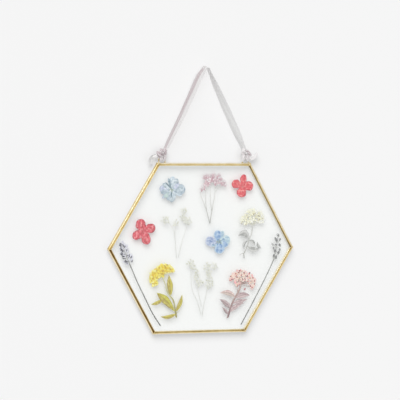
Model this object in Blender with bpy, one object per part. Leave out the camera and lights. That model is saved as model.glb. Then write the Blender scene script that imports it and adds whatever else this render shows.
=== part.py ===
"""Hexagonal brass and glass frame with twelve pressed flowers, hung from a ribbon.

Units are metres, +Z is up and the frame faces -Y. The world's origin is the hanging
point, at the top of the ribbon's bend. Every piece hangs from an empty at the middle of
the hexagon, and the flowers' places are millimetres right and up of it.
"""
import math
import random

import bmesh
import bpy
from mathutils import Vector

MM = 0.001

# Frame
SIDE = 100.0 * MM            # outer side of the hexagon, and its corner radius
FACE_WIDTH = 3.0 * MM        # a rail as seen from the front
SHEET = 0.5 * MM             # brass of the channel
EDGE_RADIUS = 0.8 * MM       # rounding of the channel's outer edges
GAP = 0.3 * MM               # kept between pieces that touch
PANE = 1.0 * MM              # one sheet of glass
SLOT = 1.0 * MM              # between the two sheets of glass
DEPTH = 2 * (SHEET + GAP + PANE) + SLOT
APOTHEM = SIDE * math.cos(math.radians(30))

# Hanging
APEX_HEIGHT = 183.5 * MM     # hanging point above the hexagon's middle
BEND_RADIUS = 1.5 * MM       # inside of the ribbon's top bend
LOOP_OFFSET = 45.0 * MM      # wire loops, left and right of the middle
LOOP_WIDTH = 6.5 * MM
LOOP_HEIGHT = 4.2 * MM
LOOP_CORNER = 1.2 * MM
WIRE = 1.0 * MM              # diameter of a loop's wire
RIBBON_THICKNESS = 0.8 * MM  # the thin ribbon with its folds
KNOT_RADII = (4.6 * MM, 3.4 * MM, 4.4 * MM)

# Pressed plants
PRESSED = 0.34 * MM          # thickness of a petal or a leaf at its middle
STALK = 0.36 * MM            # thickness of a pressed stalk
LAYER = 0.03 * MM            # how far overlapping petals and clumps lie apart

BAR_HEIGHT = APOTHEM + GAP + LOOP_HEIGHT
KNOT_HEIGHT = BAR_HEIGHT + 5.3 * MM


def clear_scene():
    for obj in list(bpy.data.objects):
        bpy.data.objects.remove(obj)


def make_material(name, colour, roughness, metallic=0.0, transmission=0.0):
    material = bpy.data.materials.new(name)
    material.use_nodes = True
    shader = material.node_tree.nodes["Principled BSDF"]
    shader.inputs["Base Color"].default_value = (*colour, 1.0)
    shader.inputs["Roughness"].default_value = roughness
    shader.inputs["Metallic"].default_value = metallic
    shader.inputs["Transmission Weight"].default_value = transmission
    material.diffuse_color = (*colour, 1.0)
    return material


def add_object(name, shape, material, smooth_angle=None):
    """Turn a bmesh into a named object that hangs from the frame's middle."""
    mesh = bpy.data.meshes.new(name)
    shape.to_mesh(mesh)
    shape.free()
    if smooth_angle is not None:
        mesh.shade_smooth()
        mesh.set_sharp_from_angle(angle=math.radians(smooth_angle))
    mesh.materials.append(material)
    obj = bpy.data.objects.new(name, mesh)
    obj.parent = frame_middle
    bpy.context.collection.objects.link(obj)
    return obj


def at(point, y=0.0):
    """A place in the frame's plane, from millimetres right and up of its middle."""
    return Vector((point[0] * MM, y, point[1] * MM))


def loft(rings, cap_faces=None):
    """A closed body through rings of points, with a flat cap at each end.

    A hollowed outline needs its caps split into convex faces, given by point numbers.
    """
    shape = bmesh.new()
    loops = [[shape.verts.new(point) for point in ring] for ring in rings]
    count = len(rings[0])
    for low, high in zip(loops, loops[1:]):
        for k in range(count):
            after = (k + 1) % count
            shape.faces.new((low[k], low[after], high[after], high[k]))
    for face in cap_faces or [range(count)]:
        shape.faces.new([loops[0][k] for k in reversed(face)])
        shape.faces.new([loops[-1][k] for k in face])
    bmesh.ops.recalc_face_normals(shape, faces=shape.faces)
    return shape


def closed_loft(rings):
    """A closed body through rings that meet end to start, such as a ring of band."""
    shape = bmesh.new()
    loops = [[shape.verts.new(point) for point in ring] for ring in rings]
    count = len(rings[0])
    for i, low in enumerate(loops):
        high = loops[(i + 1) % len(loops)]
        for k in range(count):
            after = (k + 1) % count
            shape.faces.new((low[k], low[after], high[after], high[k]))
    bmesh.ops.recalc_face_normals(shape, faces=shape.faces)
    return shape


def smooth_path(points, steps):
    """Points along a Catmull-Rom curve through the given ones, steps to each span."""
    padded = [2 * points[0] - points[1], *points, 2 * points[-1] - points[-2]]
    path = []
    for a, b, c, d in zip(padded, padded[1:], padded[2:], padded[3:]):
        for i in range(steps):
            t = i / steps
            path.append(0.5 * (2 * b + (c - a) * t + (2 * a - 5 * b + 4 * c - d) * t ** 2
                               + (3 * b - a - 3 * c + d) * t ** 3))
    path.append(points[-1].copy())
    return path


def directions(path):
    """Unit directions along a path, one for each of its points."""
    ends = zip([path[0], *path[:-1]], [*path[1:], path[-1]])
    return [(after - before).normalized() for before, after in ends]


def fuse(solids):
    """One body from solids that overlap."""
    objects = []
    for solid in solids:
        mesh = bpy.data.meshes.new("part_of_union")
        solid.to_mesh(mesh)
        solid.free()
        obj = bpy.data.objects.new("part_of_union", mesh)
        bpy.context.collection.objects.link(obj)
        objects.append(obj)
    base = objects[0]
    for other in objects[1:]:
        union = base.modifiers.new("union", "BOOLEAN")
        union.operation = "UNION"
        union.solver = "EXACT"
        union.object = other
    graph = bpy.context.evaluated_depsgraph_get()
    joined = bmesh.new()
    joined.from_mesh(base.evaluated_get(graph).data)
    for obj in objects:
        bpy.data.objects.remove(obj)
    bmesh.ops.remove_doubles(joined, verts=joined.verts, dist=0.002 * MM)
    bmesh.ops.dissolve_degenerate(joined, edges=joined.edges, dist=0.002 * MM)
    bmesh.ops.triangulate(joined, faces=joined.faces)
    return joined


def blade(base, tip, width, bend=0.0, widest=0.5, fullness=0.8, stations=7, y=0.0):
    """A pressed petal or leaf: lens-shaped across, bowed sideways by bend."""
    start = at(base, y)
    end = at(tip, y)
    along = end - start
    middle = (start + end) / 2 + Vector((-along.z, 0, along.x)) * bend * 2
    power = math.log(0.5) / math.log(widest)
    rings = []
    for i in range(stations):
        t = 0.5 - 0.5 * math.cos(math.pi * i / (stations - 1))
        centre = (1 - t) ** 2 * start + 2 * t * (1 - t) * middle + t ** 2 * end
        heading = ((1 - t) * (middle - start) + t * (end - middle)).normalized()
        side = Vector((-heading.z, 0, heading.x))
        spread = max(math.sin(math.pi * t ** power), 0.0) ** fullness
        half_width = width * MM / 2 * max(spread, 0.1)
        half_depth = PRESSED / 2 * (0.5 + 0.5 * spread)
        rings.append([centre - side * half_width, centre + Vector((0, -half_depth, 0)),
                      centre + side * half_width, centre + Vector((0, half_depth, 0))])
    return loft(rings)


def stalk(points, width=0.9, tip_width=None, steps=3):
    """A pressed stalk along points, six-sided, thinner than the petals."""
    path = smooth_path([at(point) for point in points], steps)
    last = tip_width if tip_width else width
    rings = []
    for i, (point, heading) in enumerate(zip(path, directions(path))):
        side = Vector((-heading.z, 0, heading.x))
        half = (width + (last - width) * i / (len(path) - 1)) * MM / 2
        edge = side * half
        face = side * half * 0.55
        deep = Vector((0, STALK / 2, 0))
        rings.append([point - edge, point - face - deep, point + face - deep,
                      point + edge, point + face + deep, point - face + deep])
    return loft(rings)


def tuft(centre, radius, points=11, ragged=0.16, seed=0, y=0.0):
    """A small round clump of tiny flowers: a low cushion with a ragged rim."""
    rng = random.Random(seed)
    middle = at(centre, y)
    shape = bmesh.new()
    front = shape.verts.new(middle + Vector((0, -PRESSED * 0.47, 0)))
    back = shape.verts.new(middle + Vector((0, PRESSED * 0.47, 0)))
    rim = []
    for k in range(points):
        angle = math.tau * (k + rng.uniform(-0.2, 0.2)) / points
        reach = radius * MM * (1 + rng.uniform(-ragged, ragged))
        out = Vector((math.cos(angle), 0, math.sin(angle)))
        rim.append(shape.verts.new(middle + out * reach))
    for k in range(points):
        after = (k + 1) % points
        shape.faces.new((front, rim[k], rim[after]))
        shape.faces.new((back, rim[after], rim[k]))
    bmesh.ops.recalc_face_normals(shape, faces=shape.faces)
    return shape


def clump(spine, widths, seed, y=0.0, ragged=0.16, steps=3):
    """A long clump of crowded flowers: a low cushion along a spine, with a ragged rim."""
    rng = random.Random(seed)
    path = smooth_path([at(point, y) for point in spine], steps)
    rings = []
    for i, (point, heading) in enumerate(zip(path, directions(path))):
        side = Vector((-heading.z, 0, heading.x)) * blend(widths, i / (len(path) - 1)) * MM / 2
        left = side * (1 + rng.uniform(-ragged, ragged))
        right = side * (1 + rng.uniform(-ragged, ragged))
        deep = Vector((0, PRESSED / 2, 0))
        rings.append([point - left, point - left * 0.5 - deep, point + right * 0.5 - deep,
                      point + right, point + right * 0.5 + deep, point - left * 0.5 + deep])
    return loft(rings)


def rail_profile():
    """A U channel's outline: inward from the outer face, and front to back."""
    half = DEPTH / 2
    outline = [(FACE_WIDTH, -half)]
    for corner_y, start in ((-half + EDGE_RADIUS, 270), (half - EDGE_RADIUS, 180)):
        for k in range(4):
            angle = math.radians(start - 30 * k)
            outline.append((EDGE_RADIUS + EDGE_RADIUS * math.cos(angle),
                            corner_y + EDGE_RADIUS * math.sin(angle)))
    outline += [(FACE_WIDTH, half), (FACE_WIDTH, half - SHEET), (SHEET, half - SHEET),
                (SHEET, -half + SHEET), (FACE_WIDTH, -half + SHEET)]
    return outline


# The convex faces of a channel's end: front flange, corner, web, corner and back flange
RAIL_CAP = ((0, 1, 12, 13), (1, 2, 3, 4, 12), (4, 5, 11, 12), (5, 6, 7, 8, 11), (8, 9, 10, 11))


def add_rail(name, turn, material):
    """One mitred side of the hexagon, turned by degrees about Y from the top side."""
    mitre = math.tan(math.radians(30))
    trim = GAP / 2 / math.cos(math.radians(30))
    rings = []
    for end in (-1, 1):
        rings.append([Vector((end * ((APOTHEM - inward) * mitre - trim), y, APOTHEM - inward))
                      for inward, y in rail_profile()])
    shape = loft(rings, RAIL_CAP)
    rail = add_object(name, shape, material, smooth_angle=40)
    rail.rotation_euler.y = math.radians(turn)
    return rail


def add_pane(name, y, material):
    """A hexagonal sheet of glass that the channels hold by its edge."""
    radius = (APOTHEM - SHEET - GAP) / math.cos(math.radians(30))
    rings = []
    for face in (-PANE / 2, PANE / 2):
        corners = [math.radians(60 * k) for k in range(6)]
        rings.append([Vector((radius * math.cos(a), y + face, radius * math.sin(a)))
                      for a in corners])
    return add_object(name, loft(rings), material)


def add_wire_loop(name, x, material):
    """A flat-topped wire loop that stands on the top rail, for the ribbon."""
    half = LOOP_WIDTH / 2
    foot = APOTHEM + GAP
    path = [Vector((x - half, 0, foot))]
    for side in (-1, 1):
        for k in range(4):
            angle = math.radians(30 * k if side < 0 else 90 - 30 * k)
            path.append(Vector((x + side * (half - LOOP_CORNER + LOOP_CORNER * math.cos(angle)), 0,
                                BAR_HEIGHT - LOOP_CORNER + LOOP_CORNER * math.sin(angle))))
    path.append(Vector((x + half, 0, foot)))
    rings = []
    for point, heading in zip(path, directions(path)):
        side = Vector((-heading.z, 0, heading.x))
        rings.append([point + WIRE / 2 * (side * math.cos(a) + Vector((0, math.sin(a), 0)))
                      for a in (math.tau * k / 8 for k in range(8))])
    return add_object(name, loft(rings), material, smooth_angle=50)


def band(path, widths, turns, thickness=RIBBON_THICKNESS):
    """A strip of ribbon along a path, with its width in mm and its turn towards Y."""
    rings = []
    last = len(path) - 1
    for i, (point, heading) in enumerate(zip(path, directions(path))):
        across = Vector((-heading.z, 0, heading.x))
        angle = math.radians(blend(turns, i / last))
        wide = across * math.cos(angle) + Vector((0, math.sin(angle), 0))
        through = heading.cross(wide).normalized() * thickness / 2
        wide = wide * blend(widths, i / last) * MM / 2
        rings.append([point - wide - through, point + wide - through,
                      point + wide + through, point - wide + through])
    return loft(rings)


def blend(values, t):
    """A smooth value at t from 0 to 1 between evenly spaced values."""
    place = min(t * (len(values) - 1), len(values) - 1.000001)
    k = int(place)
    s = place - k
    s = s * s * (3 - 2 * s)
    return values[k] * (1 - s) + values[k + 1] * s


def add_strands(material):
    """The ribbon's two straight runs; the left one has the bend at the top."""
    bend_radius = BEND_RADIUS + RIBBON_THICKNESS / 2
    bend_z = APEX_HEIGHT - BEND_RADIUS - RIBBON_THICKNESS
    knot_reach = 4.9 * MM
    for name, side in (("ribbon_left", -1), ("ribbon_right", 1)):
        knot = Vector((side * LOOP_OFFSET, 0, KNOT_HEIGHT))
        top = Vector((side * bend_radius, 0, bend_z))
        away = (top - knot).normalized()
        path = [knot + away * knot_reach + (top - knot - away * knot_reach) * i / 10
                for i in range(11)]
        if side < 0:
            path += [Vector((bend_radius * -math.cos(a), 0, bend_z + bend_radius * math.sin(a)))
                     for a in (math.radians(36 * k) for k in range(1, 5))]
            shape = band(path, (5, 7.5, 9, 9.5, 9.5, 9.5, 9.5, 9.5),
                         (92, 95, 92, 88, 82, 90, 90, 90))
        else:
            path[-1] = Vector((bend_radius, 0, bend_z))
            shape = band(path, (6, 9.5, 10, 9.5, 9.5), (67, 56, 60, 68, 90))
        add_object(name, shape, material, smooth_angle=40)


def add_knot(name, side, tail, tail_widths, tail_turns, material):
    """A knot above a wire loop, with the turn through the loop and a short tail."""
    middle = Vector((side * LOOP_OFFSET, 0, KNOT_HEIGHT))
    bar = Vector((side * LOOP_OFFSET, 0, BAR_HEIGHT))
    turn_radius = 1.5 * MM
    half_width = 2.0 * MM
    rings = []
    for k in range(12):
        angle = math.tau * k / 12
        out = Vector((0, math.sin(angle), math.cos(angle)))
        wide = Vector((half_width, 0, 0))
        inner = bar + out * (turn_radius - RIBBON_THICKNESS / 2)
        outer = bar + out * (turn_radius + RIBBON_THICKNESS / 2)
        rings.append([inner - wide, inner + wide, outer + wide, outer - wide])
    turn = closed_loft(rings)
    lump = bmesh.new()
    bmesh.ops.create_icosphere(lump, subdivisions=2, radius=1.0)
    rng = random.Random(3 + side)
    for vert in lump.verts:
        vert.co *= 1 + rng.uniform(-0.07, 0.03)
        vert.co = Vector(a * b for a, b in zip(vert.co, KNOT_RADII)) + middle
    path = smooth_path([at(point, y * MM) for point, y in tail], 3)
    shape = fuse([lump, turn, band(path, tail_widths, tail_turns)])
    return add_object(name, shape, material, smooth_angle=50)


def floret(centre, petals, heart):
    """Petals fused at their middle; each is a tip, a width and where it is widest."""
    solids = [tuft(centre, heart, points=8)]
    middle = Vector(centre)
    for k, (tip, width, widest) in enumerate(petals):
        root = middle - 0.1 * (Vector(tip) - middle)
        solids.append(blade(root, tip, width, 0.0, widest, fullness=0.62,
                            stations=8 if width > 5 else 5, y=LAYER * (k % 3 - 1)))
    return fuse(solids)


def sprig(stems, clusters, seed):
    """Forked stalks that end in loose clusters of tiny flowers."""
    solids = [stalk(points, width=0.8, tip_width=0.5, steps=1) for points in stems]
    for k, (centre, radius) in enumerate(clusters):
        solids.append(tuft(centre, radius, ragged=0.3, seed=seed + k,
                           y=LAYER * (1 if k % 2 else -1)))
    return fuse(solids)


def spike(base, tip, pairs, length, width):
    """Buds in pairs up an axis, each pair leaning out and up."""
    start = Vector(base)
    axis = Vector(tip) - start
    heading = axis.normalized()
    side = Vector((heading.y, -heading.x))
    solids = [stalk([base, tip], width=1.6, tip_width=1.0, steps=1)]
    for k in range(pairs):
        t = k / (pairs - 0.5)
        root = start + axis * t
        reach = length * (1 - 0.35 * t)
        for hand in (-1, 1):
            out = (side * hand * (0.85 - 0.3 * t) + heading * (0.35 + 0.5 * t)).normalized()
            solids.append(blade(root - out * 0.3, root + out * reach, width, widest=0.6,
                                stations=4, y=hand * LAYER))
    solids.append(blade(start + axis * 0.9, start + axis * 1.09, width, stations=4,
                        y=LAYER * 0.4))
    return fuse(solids)


def leaf(base, tip, width, bend=0.0, widest=0.45, y=0.0):
    return blade(base, tip, width, bend, widest, fullness=0.9, stations=9, y=y)


def add_florets():
    petals_blue_grey = make_material("blue_grey_petals", (0.45, 0.56, 0.62), 0.8)
    petals_red = make_material("red_petals", (0.72, 0.2, 0.2), 0.75)
    petals_sky = make_material("sky_blue_petals", (0.42, 0.53, 0.7), 0.8)
    shape = floret((-33.9, 59.5), [
        ((-19.3, 59.2), 11.5, 0.68), ((-30.8, 72.4), 8.5, 0.66), ((-46.8, 61.0), 9.0, 0.7),
        ((-34.4, 47.2), 8.5, 0.62), ((-42.6, 51.2), 4.5, 0.68), ((-37.7, 71.6), 2.4, 0.7),
        ((-42.8, 67.9), 2.4, 0.7), ((-31.2, 46.4), 2.4, 0.6)], 1.8)
    add_object("blue_grey_floret", shape, petals_blue_grey)
    shape = floret((42.0, 63.0), [
        ((31.3, 67.4), 9.4, 0.62), ((43.3, 74.7), 6.4, 0.6),
        ((54.1, 63.7), 9.8, 0.62), ((40.8, 51.7), 10.0, 0.6)], 1.4)
    add_object("red_floret_upper", shape, petals_red)
    shape = floret((-62.9, 18.2), [
        ((-67.2, 29.8), 10.6, 0.6), ((-50.6, 23.2), 9.6, 0.62),
        ((-73.9, 11.6), 9.2, 0.6), ((-57.0, 4.8), 8.8, 0.62)], 1.6)
    add_object("red_floret_left", shape, petals_red)
    shape = floret((18.5, 6.0), [
        ((4.0, 7.6), 10.0, 0.7), ((16.6, 17.9), 7.6, 0.62), ((30.8, 7.0), 11.4, 0.68),
        ((23.2, 17.0), 4.0, 0.7), ((19.1, -5.8), 10.2, 0.62)], 1.8)
    add_object("sky_blue_floret", shape, petals_sky)


def add_pink_spray():
    petals = make_material("pink_spray_petals", (0.68, 0.5, 0.54), 0.85)
    stems = make_material("pale_stems", (0.62, 0.62, 0.58), 0.8)
    shape = fuse([
        clump([(-1.6, 58.0), (3.0, 63.8), (6.8, 69.0), (10.8, 74.6)], (3, 6.6, 7.6, 6.4, 3), 11),
        clump([(12.2, 63.8), (14.8, 69.4), (17.0, 74.4)], (3, 7, 6.4, 3), 12, y=LAYER),
        clump([(8.4, 69.4), (13.8, 68.2), (19.0, 65.4), (24.4, 64.0)], (3, 7, 6.6, 5.4, 2.4), 13,
              y=-LAYER),
        tuft((3.6, 71.6), 2.8, seed=14, y=-LAYER)])
    add_object("pink_spray_head", shape, petals)
    shape = fuse([
        stalk([(8.1, 24.6), (4.3, 37.6), (1.0, 45.9), (-2.6, 56.6)], 1.1, 0.6, steps=2),
        stalk([(4.6, 36.4), (3.6, 42.0), (2.9, 52.0), (3.0, 57.4)], 0.8, 0.6, steps=1),
        stalk([(8.1, 24.6), (10.0, 37.8), (11.2, 45.4), (12.8, 54.8), (12.1, 63.0)], 1.1, 0.6,
              steps=1),
        stalk([(9.8, 36.6), (8.4, 46.0), (7.4, 62.2)], 0.7, 0.6, steps=1)])
    add_object("pink_spray_stems", shape, stems)


def add_babys_breath():
    pale = make_material("babys_breath", (0.75, 0.77, 0.62), 0.85)
    shape = sprig(
        [[(-26.6, -9.9), (-28.0, 0.4), (-28.9, 10.0), (-30.8, 18.2), (-34.8, 24.6), (-39.6, 28.6)],
         [(-28.9, 9.0), (-29.2, 19.0), (-28.2, 25.0)]],
        [((-39.8, 28.8), 4.0), ((-28.2, 25.6), 3.0)], seed=21)
    add_object("babys_breath_upper_left", shape, pale)
    shape = sprig(
        [[(-24.8, -9.2), (-22.8, 0.3), (-20.3, 10.6), (-17.4, 19.6), (-16.6, 28.0)],
         [(-17.4, 24.0), (-19.8, 31.0), (-20.4, 37.4)]],
        [((-16.2, 27.6), 4.0), ((-20.6, 31.4), 2.8), ((-20.4, 37.6), 3.4)], seed=25)
    add_object("babys_breath_upper_right", shape, pale)
    shape = sprig(
        [[(1.3, -68.4), (-1.6, -58.7), (-4.2, -52.3), (-8.2, -44.7), (-9.9, -37.5),
          (-10.6, -26.2), (-10.9, -16.0)]],
        [((-10.9, -14.8), 3.5), ((-10.2, -20.0), 2.4)], seed=31)
    add_object("babys_breath_lower_left", shape, pale)
    shape = sprig(
        [[(1.6, -60.2), (-0.4, -52.0), (-2.2, -45.0), (-3.6, -37.0), (-3.4, -26.0)]],
        [((-3.6, -25.4), 2.8), ((-3.0, -31.0), 2.9), ((-2.8, -35.6), 3.0)], seed=35)
    add_object("babys_breath_lower_middle", shape, pale)
    shape = sprig(
        [[(2.6, -69.4), (3.5, -60.9), (4.9, -54.6), (6.0, -48.8), (7.6, -40.0), (8.8, -32.0),
          (8.2, -24.0), (8.0, -18.6)], [(8.2, -25.0), (14.6, -19.0)]],
        [((7.4, -17.8), 3.2), ((14.8, -18.6), 2.6), ((7.8, -24.6), 2.6), ((9.0, -30.2), 2.8),
         ((9.4, -35.8), 3.8)], seed=39)
    add_object("babys_breath_lower_right", shape, pale)


def add_cream_umbel():
    petals = make_material("cream_petals", (0.82, 0.8, 0.6), 0.85)
    grey = make_material("grey_leaves", (0.45, 0.45, 0.42), 0.85)
    shape = clump([(42.4, 25.4), (48.6, 28.4), (54.8, 32.4), (60.6, 32.0), (66.8, 27.4)],
                  (5, 11, 13.6, 11.6, 4), 41, steps=4)
    add_object("cream_umbel_head", shape, petals)
    shape = fuse([
        stalk([(46.8, -11.2), (46.2, -6.4), (47.8, -3.0), (50.2, 3.0), (51.4, 8.0), (54.2, 15.0),
               (54.6, 19.0), (54.7, 24.0)], 1.2, 0.9, steps=2),
        stalk([(46.4, -5.8), (43.4, -6.4), (41.2, -8.0)], 1.0, 0.7, steps=1)])
    add_object("cream_umbel_stem", shape, grey)
    for name, base, tip, width, bend in (
            ("cream_umbel_leaf_upper", (50.7, 9.2), (39.4, 11.8), 6.6, -0.38),
            ("cream_umbel_leaf_left", (49.9, 6.6), (46.6, -1.4), 2.0, -0.24),
            ("cream_umbel_leaf_right", (52.2, 7.0), (57.6, 2.4), 2.6, 0.16),
            ("cream_umbel_leaf_lower", (50.6, 0.8), (62.6, -0.6), 4.6, -0.16),
            ("cream_umbel_leaf_tip", (64.6, -0.6), (61.0, 5.4), 2.4, 0.12)):
        add_object(name, leaf(base, tip, width, bend), grey)


def add_yellow_umbel():
    petals = make_material("yellow_petals", (0.82, 0.62, 0.16), 0.8)
    green = make_material("olive_leaves", (0.45, 0.43, 0.1), 0.75)
    shape = clump([(-47.6, -37.4), (-50.8, -31.2), (-49.6, -25.6), (-45.2, -22.2),
                   (-40.0, -20.6), (-34.6, -21.2), (-30.2, -24.4)],
                  (3, 7.4, 8.8, 9, 9.6, 8, 2.6), 51)
    add_object("yellow_umbel_head", shape, petals)
    shape = fuse([
        stalk([(-25.1, -70.4), (-26.2, -65.0), (-27.0, -61.0), (-30.2, -50.8), (-32.4, -48.4),
               (-36.4, -42.0), (-38.0, -36.4), (-39.6, -32.6), (-42.6, -26.9)], 1.3, 0.7,
              steps=2),
        stalk([(-26.0, -66.2), (-23.8, -64.9), (-21.8, -62.9)], 0.7, 0.5, steps=1)])
    add_object("yellow_umbel_stem", shape, green)
    for name, base, tip, width, bend in (
            ("yellow_umbel_leaf_upright", (-31.9, -46.9), (-34.4, -26.8), 5.8, 0.0),
            ("yellow_umbel_leaf_large", (-28.1, -63.4), (-46.8, -44.8), 7.2, -0.04),
            ("yellow_umbel_leaf_small", (-42.9, -52.3), (-52.5, -56.0), 2.8, 0.1),
            ("yellow_umbel_leaf_right", (-25.7, -61.7), (-19.6, -47.2), 4.0, -0.06),
            ("yellow_umbel_leaf_low", (-27.1, -65.8), (-42.0, -68.8), 3.6, 0.12)):
        add_object(name, leaf(base, tip, width, bend), green)


def add_rose_umbel():
    petals = make_material("rose_petals", (0.8, 0.55, 0.5), 0.8)
    mauve = make_material("mauve_leaves", (0.45, 0.34, 0.34), 0.8)
    shape = fuse([
        clump([(31.2, -32.0), (37.0, -29.8), (43.0, -28.8), (49.0, -29.4), (54.0, -32.0),
               (56.6, -36.6), (56.4, -42.2)], (3, 8.4, 11.6, 11, 8, 6, 2.4), 61),
        clump([(40.4, -30.0), (39.8, -35.4), (39.2, -40.8)], (3, 4, 4, 2), 62, y=LAYER)])
    add_object("rose_umbel_head", shape, petals)
    add_object("rose_umbel_loose_floret", tuft((48.1, -43.0), 1.2, points=9, seed=75), petals)
    shape = fuse([
        stalk([(30.7, -71.6), (32.0, -66.1), (34.7, -57.9), (38.6, -50.1), (41.4, -45.4),
               (43.6, -39.4), (44.6, -35.4)], 1.4, 1.0, steps=2),
        stalk([(41.4, -45.6), (40.4, -44.0), (40.0, -41.6)], 1.0, 0.7, steps=1)])
    add_object("rose_umbel_stem", shape, mauve)
    for name, base, tip, width, bend in (
            ("rose_umbel_leaf_left_upper", (37.3, -50.4), (21.4, -46.3), 4.4, -0.14),
            ("rose_umbel_leaf_left_middle", (32.2, -61.4), (21.3, -52.8), 4.8, -0.06),
            ("rose_umbel_leaf_left_low", (30.6, -67.4), (25.0, -60.8), 1.9, 0.0),
            ("rose_umbel_leaf_right_upper", (39.5, -51.2), (54.0, -49.2), 5.0, 0.1),
            ("rose_umbel_leaf_right_low", (33.4, -65.6), (45.4, -58.1), 3.7, 0.08)):
        add_object(name, leaf(base, tip, width, bend), mauve)
    forked = fuse([leaf((36.7, -56.6), (51.0, -53.6), 3.2, 0.02),
                   leaf((41.0, -55.4), (47.4, -57.5), 1.7, 0.06, y=LAYER)])
    add_object("rose_umbel_leaf_right_middle", forked, mauve)


def add_lavenders():
    buds = make_material("lavender_buds", (0.36, 0.35, 0.42), 0.85)
    stems = make_material("lavender_stems", (0.22, 0.22, 0.2), 0.8)
    shape = spike((-77.2, -13.8), (-85.0, 4.8), 5, length=6.2, width=2.9)
    add_object("lavender_left_spike", shape, buds)
    shape = stalk([(-76.8, -14.6), (-75.8, -16.6), (-68.7, -31.8), (-58.2, -51.8), (-50.3, -66.4),
                   (-41.8, -78.6)], 1.1, 1.0, steps=2)
    add_object("lavender_left_stem", shape, stems)
    shape = spike((79.9, -10.8), (83.4, 10.2), 5, length=5.0, width=2.8)
    add_object("lavender_right_spike", shape, buds)
    shape = stalk([(79.6, -11.5), (78.2, -15.4), (73.0, -26.6), (59.4, -53.2), (45.1, -79.7)],
                  1.1, 1.0, steps=2)
    add_object("lavender_right_stem", shape, stems)


def add_frame():
    brass = make_material("brass", (0.72, 0.52, 0.24), 0.3, metallic=1.0)
    glass = make_material("glass", (0.97, 0.98, 0.97), 0.02, transmission=1.0)
    for name, turn in (("rail_top", 0), ("rail_upper_right", 60), ("rail_lower_right", 120),
                       ("rail_bottom", 180), ("rail_lower_left", 240), ("rail_upper_left", 300)):
        add_rail(name, turn, brass)
    add_pane("pane_front", -(SLOT + PANE) / 2, glass)
    add_pane("pane_back", (SLOT + PANE) / 2, glass)
    add_wire_loop("wire_loop_left", -LOOP_OFFSET, brass)
    add_wire_loop("wire_loop_right", LOOP_OFFSET, brass)


def add_ribbon():
    satin = make_material("ribbon_satin", (0.66, 0.58, 0.6), 0.5)
    add_strands(satin)
    add_knot("knot_left", -1,
             [((-46.5, 95.0), -1.0), ((-51.5, 94.2), -2.0), ((-55.0, 90.6), -2.0),
              ((-55.2, 85.6), -1.0)], (4, 6.5, 7.5, 7), (35, 35, 50, 40), satin)
    add_knot("knot_right", 1,
             [((47.0, 92.8), -1.0), ((52.0, 92.2), -2.0), ((55.8, 94.6), -1.5),
              ((58.4, 97.6), -0.5)], (4, 6.0, 6.5, 6), (30, 35, 30, 30), satin)


clear_scene()
frame_middle = bpy.data.objects.new("frame_middle", None)
frame_middle.location.z = -APEX_HEIGHT
bpy.context.collection.objects.link(frame_middle)
add_frame()
add_ribbon()
add_florets()
add_pink_spray()
add_babys_breath()
add_cream_umbel()
add_yellow_umbel()
add_rose_umbel()
add_lavenders()
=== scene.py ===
import math
import bpy
import numpy as np
from mathutils import Matrix, Vector


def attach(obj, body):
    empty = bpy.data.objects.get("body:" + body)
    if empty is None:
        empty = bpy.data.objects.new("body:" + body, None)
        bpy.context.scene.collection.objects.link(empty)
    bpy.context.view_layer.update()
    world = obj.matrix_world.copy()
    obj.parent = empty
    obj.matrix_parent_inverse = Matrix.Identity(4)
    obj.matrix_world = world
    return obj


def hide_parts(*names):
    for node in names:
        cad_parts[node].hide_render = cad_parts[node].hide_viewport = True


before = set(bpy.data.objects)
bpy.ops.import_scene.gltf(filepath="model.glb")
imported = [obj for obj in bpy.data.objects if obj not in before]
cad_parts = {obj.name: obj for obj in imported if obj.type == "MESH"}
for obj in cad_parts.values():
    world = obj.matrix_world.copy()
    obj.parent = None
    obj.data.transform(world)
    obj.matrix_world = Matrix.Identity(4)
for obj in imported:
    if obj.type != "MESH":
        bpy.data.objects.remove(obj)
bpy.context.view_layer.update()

# Shapes are worked out in millimetres from the hexagon's middle: across, depth, height.
middleHeight = -183.5                     # of the hexagon's middle; the hanging point is 0
apothem = 86.6025                         # from the middle to a rail's outer side
halfCorner = math.radians(30)

cameraSetup = {
    "azimuth": -20.68, "elevation": 5.0, "roll": 1.59,       # degrees
    "distance": 2.162, "aim": (-0.0031, 0.0, -0.1346),       # metres
    "lens": 192.7, "sensor": 36,                             # millimetres
    "nearest": 0.05,
}


def addCamera(setup):
    # stands on a sphere round the aim point and is rolled about its own line of sight
    a, e, r = (math.radians(setup[k]) for k in ("azimuth", "elevation", "roll"))
    away = Vector((math.sin(a) * math.cos(e), -math.cos(a) * math.cos(e), math.sin(e)))
    right = Vector((math.cos(a), math.sin(a), 0))
    up = away.cross(right)
    turnedRight = right * math.cos(r) + up * math.sin(r)
    turnedUp = up * math.cos(r) - right * math.sin(r)
    data = bpy.data.cameras.new("photoCamera")
    data.lens = setup["lens"]
    data.sensor_width = setup["sensor"]
    data.clip_start = setup["nearest"]
    camera = bpy.data.objects.new("photoCamera", data)
    turn = Matrix((turnedRight, turnedUp, away)).transposed().to_4x4()
    place = Vector(setup["aim"]) + away * setup["distance"]
    camera.matrix_world = Matrix.Translation(place) @ turn
    bpy.context.collection.objects.link(camera)
    bpy.context.scene.camera = camera


addCamera(cameraSetup)
print("camera placed")


noTris = np.zeros((0, 3), int)


def startPiece():
    # a piece gathers points, three marks for each point, and faces until it is finished
    return {"points": [], "surface": [], "quads": [], "tris": [], "quadSlots": [],
            "triSlots": [], "count": 0}


def addFaces(piece, points, surface, quads, tris, slot=0):
    piece["points"].append(points)
    piece["surface"].append(surface)
    for kind, faces in (("quad", quads), ("tri", tris)):
        piece[kind + "s"].append(faces + piece["count"])
        piece[kind + "Slots"].append(np.full(len(faces), slot))
    piece["count"] += len(points)


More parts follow.
